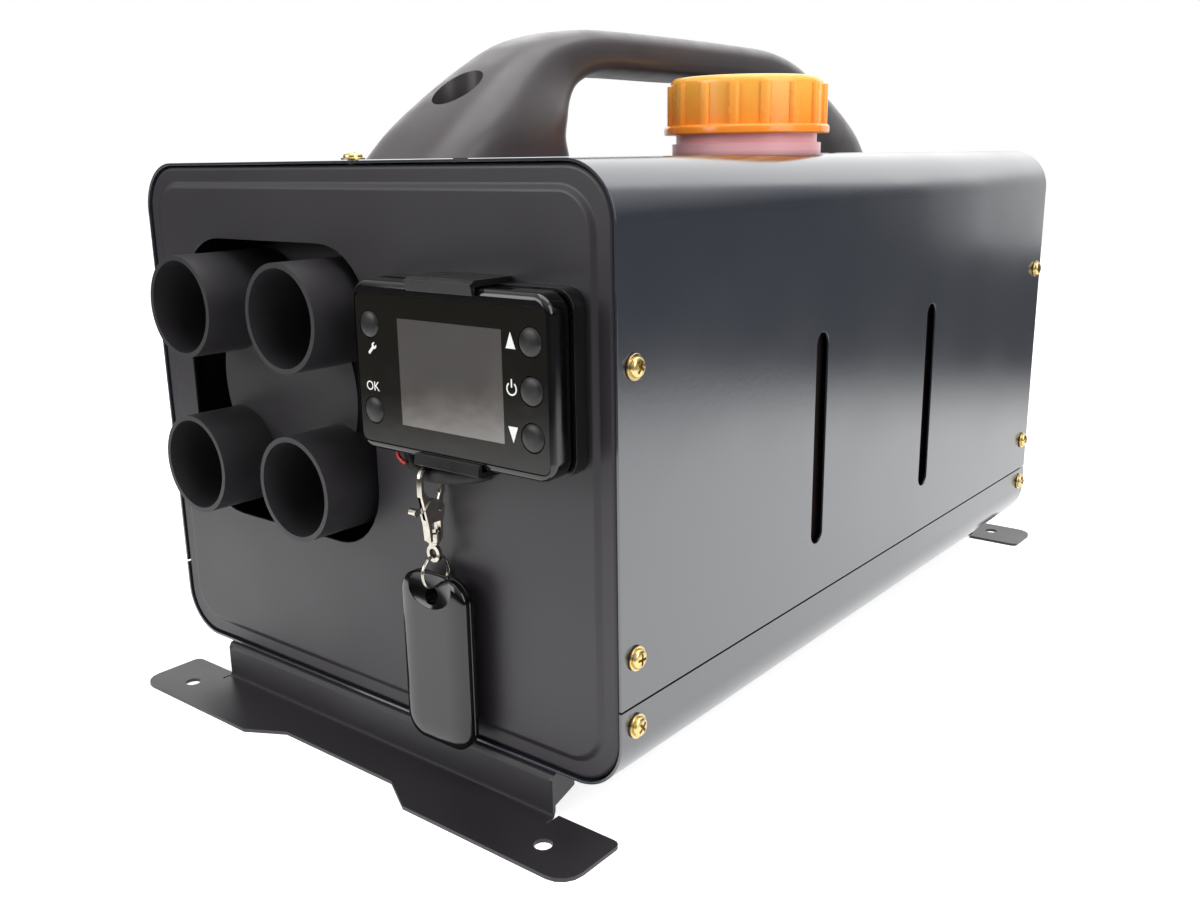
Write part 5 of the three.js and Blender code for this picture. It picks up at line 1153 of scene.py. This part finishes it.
def make_cable():
    """The controller's cable, hanging in a short bight between the controller and the panel."""
    low, high, _ = box_of("control_cable")
    x, y, z = CHAIN_MM
    top, back = high.z / mm(1), high.y / mm(1)
    points = [(x - 14, y + 3.4, top), (x - 14, y + 3.4, top - 3), (x - 12, y + 2.2, z + 2.2), (x - 6, y + 0.2, z + 0.2)]
    points += [(x, y, z - 0.1), (x + 6, y + 0.2, z + 0.2), (x + 14, y + 1, z + 1), (x + 20, back - 4, z + 2)]
    points += [(x + 21, back - 1.5, z + 2.2), (x + 21, back, z + 2.2)]
    cable = tube_along("cable", [mm(*point) for point in points], mm(CABLE_RADIUS_MM), 20)
    shade(cable, 60)
    settle(cable, finish("hose"), nodes=["control_cable"])
    points = [(x - 15.5, y - 0.4, top - 0.4), (x - 16.2, y - 1.4, top - 3)]
    points += [(x - 14.5, y - 1.6, z + 4.4), (x - 11.5, y - 1.2, z + 2.9)]
    wire = tube_along("wire", [mm(*point) for point in points], mm(0.8), 12)
    shade(wire, 60)
    settle(wire, finish("wire"))


def make_split_ring():
    """A ring of two turns of wire, drawn round in section."""
    low, high, middle = box_of("split_ring")
    wire, turns, steps = mm(0.5), 1.9, 40
    radius = (high.z - low.z) / 2 - wire - mm(0.1)
    points = []
    for i in range(int(turns * steps) + 1):
        angle = 2 * math.pi * i / steps + 0.6
        across = (i / (turns * steps) - 0.5) * wire * 2.0
        points.append((middle.x + across, middle.y + radius * math.cos(angle), middle.z + radius * math.sin(angle)))
    ring = tube_along("key_ring", points, wire, 12)
    shade(ring, 60)
    return settle(ring, finish("nickel"), "ring", ["split_ring"])


def make_remote_shell(name, node, side):
    """One half of the remote, swelling to its middle, with a thumb dish round the hole that the ring goes through."""
    low, high, middle = box_of(node)
    swell = bpy.context.scene.heater_sizes.remote_swell
    inner, outer = (high.y, low.y) if side < 0 else (low.y, high.y)
    width, height = high.x - low.x, high.z - low.z
    depth = abs(outer - inner) - mm(REMOTE_SIDE_MM)
    sections = [(mm(0.25), inner), (0.0, inner + side * mm(0.25))]
    for angle in range(0, 91, 9):
        turn = math.radians(angle)
        sections.append((swell * (1 - math.cos(turn)) ** 1.15, outer - side * depth * (1 - math.sin(turn))))
    rings = []
    for inset, place in sections:
        corner = max(mm(REMOTE_CORNER_MM) - inset * 0.8, mm(1))
        outline = rounded_outline(width - 2 * inset, height - 2 * inset, corner, (middle.x, middle.z), 12)
        rings.append([(u, place, v) for u, v in outline])
    shell = lofted(name, rings)
    hole = (middle.x, high.z - mm(7.7))
    bore = cylinder("bore", "y", hole, mm(3.2), low.y - mm(2), high.y + mm(2), 64)
    dish = turned("dish", "y", (middle.x, high.z - mm(DISH_DROP_MM)), thumb_dish(side, outer), 96)
    combine(shell, [dish, bore])
    soften(shell, 0.5, 3, 30)
    return settle(shell, finish("gloss"), "remote", [node])


def thumb_dish(side, outer):
    """Spherical dish that thins the remote towards its hole, as (radius, y) points."""
    radius, depth = mm(DISH_RADIUS_MM), mm(DISH_DEPTH_MM)
    curve = (radius**2 + depth**2) / (2 * depth)
    points = []
    for step in range(13):
        away = (radius + mm(1)) * step / 12
        points.append((away, outer + side * (curve - depth - math.sqrt(curve**2 - away**2))))
    return points


# ---------------------------------------------------------------- stage
CAMERA_PLACE_MM = (349.39, -482.42, 235.85)
CAMERA_RIGHT = Vector((0.78300, 0.62185, -0.01453))
CAMERA_DOWN = Vector((0.14460, -0.20469, -0.96809))
CAMERA_AHEAD = Vector((-0.60498, 0.75591, -0.25019))
FOCAL_PIXELS = 1148.7
SENSOR_MM = 36.0
WALL_Y, WALL_END, WALL_TOP = 2.5, 1.05, 4.0
LAMPS = {  # place, target, size and watts
    "overhead": ((0.2, 0.1, 1.9), (0, 0, 0.1), (1.8, 1.8), 30),
    "right": ((1.9, -0.3, 1.0), (0, 0, 0.15), (1.2, 1.4), 20),
    "front": ((-0.9, -1.8, 0.9), (0, 0, 0.12), (1.3, 1.0), 18),
}


def make_camera():
    data = bpy.data.cameras.new("camera")
    data.sensor_width = SENSOR_MM
    data.lens = SENSOR_MM * FOCAL_PIXELS / PHOTO_WIDTH
    data.clip_start, data.clip_end = 0.02, 50
    camera = bpy.data.objects.new("camera", data)
    bpy.context.scene.collection.objects.link(camera)
    turn = Matrix((CAMERA_RIGHT, -CAMERA_DOWN, -CAMERA_AHEAD)).transposed().to_4x4()
    camera.matrix_world = Matrix.Translation(mm(*CAMERA_PLACE_MM)) @ turn
    bpy.context.scene.camera = camera


def add_lamp(name, place, target, size, watts, colour=(1, 1, 1)):
    data = bpy.data.lights.new(name, "AREA")
    data.shape = "RECTANGLE"
    data.size, data.size_y = size
    data.energy = watts
    data.color = colour
    lamp = bpy.data.objects.new(name, data)
    bpy.context.scene.collection.objects.link(lamp)
    lamp.location = place
    lamp.rotation_euler = (Vector(target) - Vector(place)).to_track_quat("-Z", "Y").to_euler()
    return lamp


def make_sheet(name, corners):
    """A flat piece of the stage, in the material of its own name."""
    sheet = mesh_object(name, lambda bm: bm.faces.new([bm.verts.new(corner) for corner in corners]), outward=False)
    sheet.data.materials.append(finish(name))


def make_surroundings():
    far = 6.0
    make_sheet("floor", [(-far, -far, 0), (far, -far, 0), (far, far, 0), (-far, far, 0)])
    make_sheet("wall", [(-far, WALL_Y, 0), (WALL_END, WALL_Y, 0), (WALL_END, WALL_Y, WALL_TOP), (-far, WALL_Y, WALL_TOP)])


def make_world():
    """White to the camera, a plain light on everything, and in reflections a dim room under a pale ceiling."""
    world = bpy.data.worlds.new("studio")
    bpy.context.scene.world = world
    world.use_nodes = True
    tree = world.node_tree
    plain, mirrored = seen_directly(tree)
    direction = add_node(tree, "ShaderNodeTexCoord").outputs["Generated"]
    rise = add_node(tree, "ShaderNodeSeparateXYZ", {"Vector": direction}).outputs["Z"]
    room = {"Value": rise, "From Min": 0.12, "From Max": 0.7, "To Min": ROOM_LEVEL, "To Max": CEILING_LEVEL}
    room = add_node(tree, "ShaderNodeMapRange", room).outputs["Result"]
    level = add_node(tree, "ShaderNodeMix", {"Factor": mirrored, "A": WORLD_LEVEL, "B": room}).outputs["Result"]
    level = add_node(tree, "ShaderNodeMix", {"Factor": plain, "A": level, "B": 1.0}).outputs["Result"]
    background = tree.nodes["Background"]
    background.inputs["Color"].default_value = (1, 1, 1, 1)
    tree.links.new(level, background.inputs["Strength"])


# ---------------------------------------------------------------- operators
class MakeHousing(bpy.types.Operator):
    """Make the cover, the pan and the two end panels"""

    bl_idname = "heater.make_housing"
    bl_label = "Make Housing"

    def execute(self, context):
        make_cover()
        make_pan()
        opening = rounded_outline(
            *mm(OPENING_MM, OPENING_MM, OPENING_CORNER_MM), mm(HEATER_X_MM, HEATER_HEIGHT_MM)
        )
        make_panel("panel_front", "front_panel", [opening])
        pipes = [circle_outline(mm(radius), mm(x, height)) for x, height, radius in PIPE_HOLES_MM]
        make_panel("panel_rear", "rear_panel", [*grille_holes(), *pipes])
        return {"FINISHED"}


class MakeFeet(bpy.types.Operator):
    """Soften the edges of the two bent feet"""

    bl_idname = "heater.make_feet"
    bl_label = "Make Feet"

    def execute(self, context):
        for node in ("front_foot_bracket", "rear_foot_bracket"):
            dress_node(node, finish("panel"), edge_mm=0.35)
        return {"FINISHED"}


class MakeHandle(bpy.types.Operator):
    """Make the carrying handle"""

    bl_idname = "heater.make_handle"
    bl_label = "Make Handle"

    def execute(self, context):
        make_handle()
        return {"FINISHED"}


class MakeScrews(bpy.types.Operator):
    """Set a cross-recessed screw on each of the housing's and the handle's screw places"""

    bl_idname = "heater.make_screws"
    bl_label = "Make Screws"

    def execute(self, context):
        seats = screw_seats()
        screw = pan_head("pan_head", 9.0, 2.6, 4.0, 8.0)
        spots = [(place, facing) for _, place, facing in seats]
        screws = scattered("housing_screws", spots, screw, finish("zinc"), math.pi / 2)
        settle(screws, finish("zinc"), nodes=[node for node, _, _ in seats])
        nodes = ["front_handle_screw", "rear_handle_screw"]
        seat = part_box("carrying_handle")[0].z + mm(HANDLE_FLOOR_MM)
        spots = [((box_of(node)[2].x, box_of(node)[2].y, seat), (0, 0, 1)) for node in nodes]
        screw = pan_head("handle_head", 12.0, 4.0, 6.0, 14.0)
        screws = scattered("handle_screws", spots, screw, finish("dark_zinc"), math.pi / 2)
        settle(screws, finish("dark_zinc"), nodes=nodes)
        return {"FINISHED"}


class MakeOutlets(bpy.types.Operator):
    """Make the moulding with the four hot-air tubes"""

    bl_idname = "heater.make_outlets"
    bl_label = "Make Outlets"

    def execute(self, context):
        make_outlets()
        return {"FINISHED"}


class MakeFuelParts(bpy.types.Operator):
    """Make the fuel cap and dress the tank, pump and hoses"""

    bl_idname = "heater.make_fuel_parts"
    bl_label = "Make Fuel Parts"

    def execute(self, context):
        make_cap()
        dress_node("fuel_tank", finish("tank"), edge_mm=0.6)
        dress_node("cap_seal", finish("hose"), "cap_liner")
        dress_node("fuel_pump", finish("cast"))
        for node in ("pump_clamp", "suction_hose", "delivery_hose"):
            dress_node(node, finish("hose"))
        return {"FINISHED"}


class MakeController(bpy.types.Operator):
    """Make the controller with its window, keys, symbols and holder"""

    bl_idname = "heater.make_controller"
    bl_label = "Make Controller"

    def execute(self, context):
        dress_node("controller_holder", finish("tray"), edge_mm=0.4)
        dress_node("controller_housing", finish("tray"), edge_mm=0.4)
        dress_node("lcd_screen", finish("screen"), edge_mm=0.15)
        make_bezel()
        make_window()
        for node, body in KEY_SIGNS.items():
            make_key(node, body)
        make_signs()
        return {"FINISHED"}


class MakeRemote(bpy.types.Operator):
    """Make the cable, the clasp, its ring and the remote"""

    bl_idname = "heater.make_remote"
    bl_label = "Make Remote"

    def execute(self, context):
        make_cable()
        dress_node("clasp_body", finish("nickel"), "clasp", 0.25, 3)
        dress_node("clasp_trigger", finish("nickel"), "trigger", 0.15, 2)
        dress_node("swivel_eye", finish("nickel"), "swivel", 0.3, 3)
        make_split_ring()
        make_remote_shell("remote_front", "remote_front_shell", -1)
        make_remote_shell("remote_rear", "remote_rear_shell", 1)
        return {"FINISHED"}


class DressHeaterUnit(bpy.types.Operator):
    """Dress the pieces of the heater unit inside the housing"""

    bl_idname = "heater.dress_heater_unit"
    bl_label = "Dress Heater Unit"

    def execute(self, context):
        looks = {
            "heater_case": ("moulded", "black_plastic", "heater"),
            "blower_motor": ("moulded", "black_plastic", "heater"),
            "intake_pipe": ("moulded", "black_plastic", "heater"),
            "power_inlet": ("moulded", "black_plastic", "heater"),
            "heat_exchanger": ("cast", "cast_aluminium", "heater"),
            "burner_tube": ("stainless", "stainless", "heater"),
            "glow_plug": ("stainless", "stainless", "heater"),
            "exhaust_pipe": ("stainless", "stainless", "heater"),
            "control_board": ("board", "board", "heater"),
            "rotor_shaft": ("stainless", "stainless", "rotor"),
            "fan_wheel": ("moulded", "black_plastic", "rotor"),
            "combustion_impeller": ("cast", "cast_aluminium", "rotor"),
        }
        for node, (surface, slot, body) in looks.items():
            dress_node(node, finish(surface), body, 0.3)
        return {"FINISHED"}


class MakeStage(bpy.types.Operator):
    """Set the camera, the lamps, the world and the floor"""

    bl_idname = "heater.make_stage"
    bl_label = "Make Stage"

    def execute(self, context):
        context.scene.view_settings.view_transform = "Standard"
        make_camera()
        make_world()
        make_surroundings()
        for name, (place, target, size, watts) in LAMPS.items():
            add_lamp(name, place, target, size, watts)
        return {"FINISHED"}


class HeaterPanel(bpy.types.Panel):
    """Lists the heater's settings and pieces"""

    bl_idname = "VIEW3D_PT_heater"
    bl_label = "Diesel Air Heater"
    bl_space_type = "VIEW_3D"
    bl_region_type = "UI"
    bl_category = "Heater"

    def draw(self, context):
        for group in (context.scene.heater_colours, context.scene.heater_sizes):
            column = self.layout.column(align=True)
            for name in group.bl_rna.properties.keys():
                if name not in ("rna_type", "name"):
                    column.prop(group, name)
        for operator in OPERATORS:
            self.layout.operator(operator.bl_idname)


OPERATORS = (
    MakeStage,
    MakeHousing,
    MakeFeet,
    MakeHandle,
    MakeScrews,
    MakeOutlets,
    MakeFuelParts,
    MakeController,
    MakeRemote,
    DressHeaterUnit,
)
CLASSES = (HeaterColours, HeaterSizes, *OPERATORS, HeaterPanel)


def register():
    for cls in CLASSES:
        bpy.utils.register_class(cls)
    bpy.types.Scene.heater_colours = bpy.props.PointerProperty(type=HeaterColours)
    bpy.types.Scene.heater_sizes = bpy.props.PointerProperty(type=HeaterSizes)


def unregister():
    del bpy.types.Scene.heater_colours
    del bpy.types.Scene.heater_sizes
    for cls in reversed(CLASSES):
        bpy.utils.unregister_class(cls)


def main():
    register()
    for operator in OPERATORS:
        family, verb = operator.bl_idname.split(".")
        getattr(getattr(bpy.ops, family), verb)()


if __name__ == "__main__":
    main()
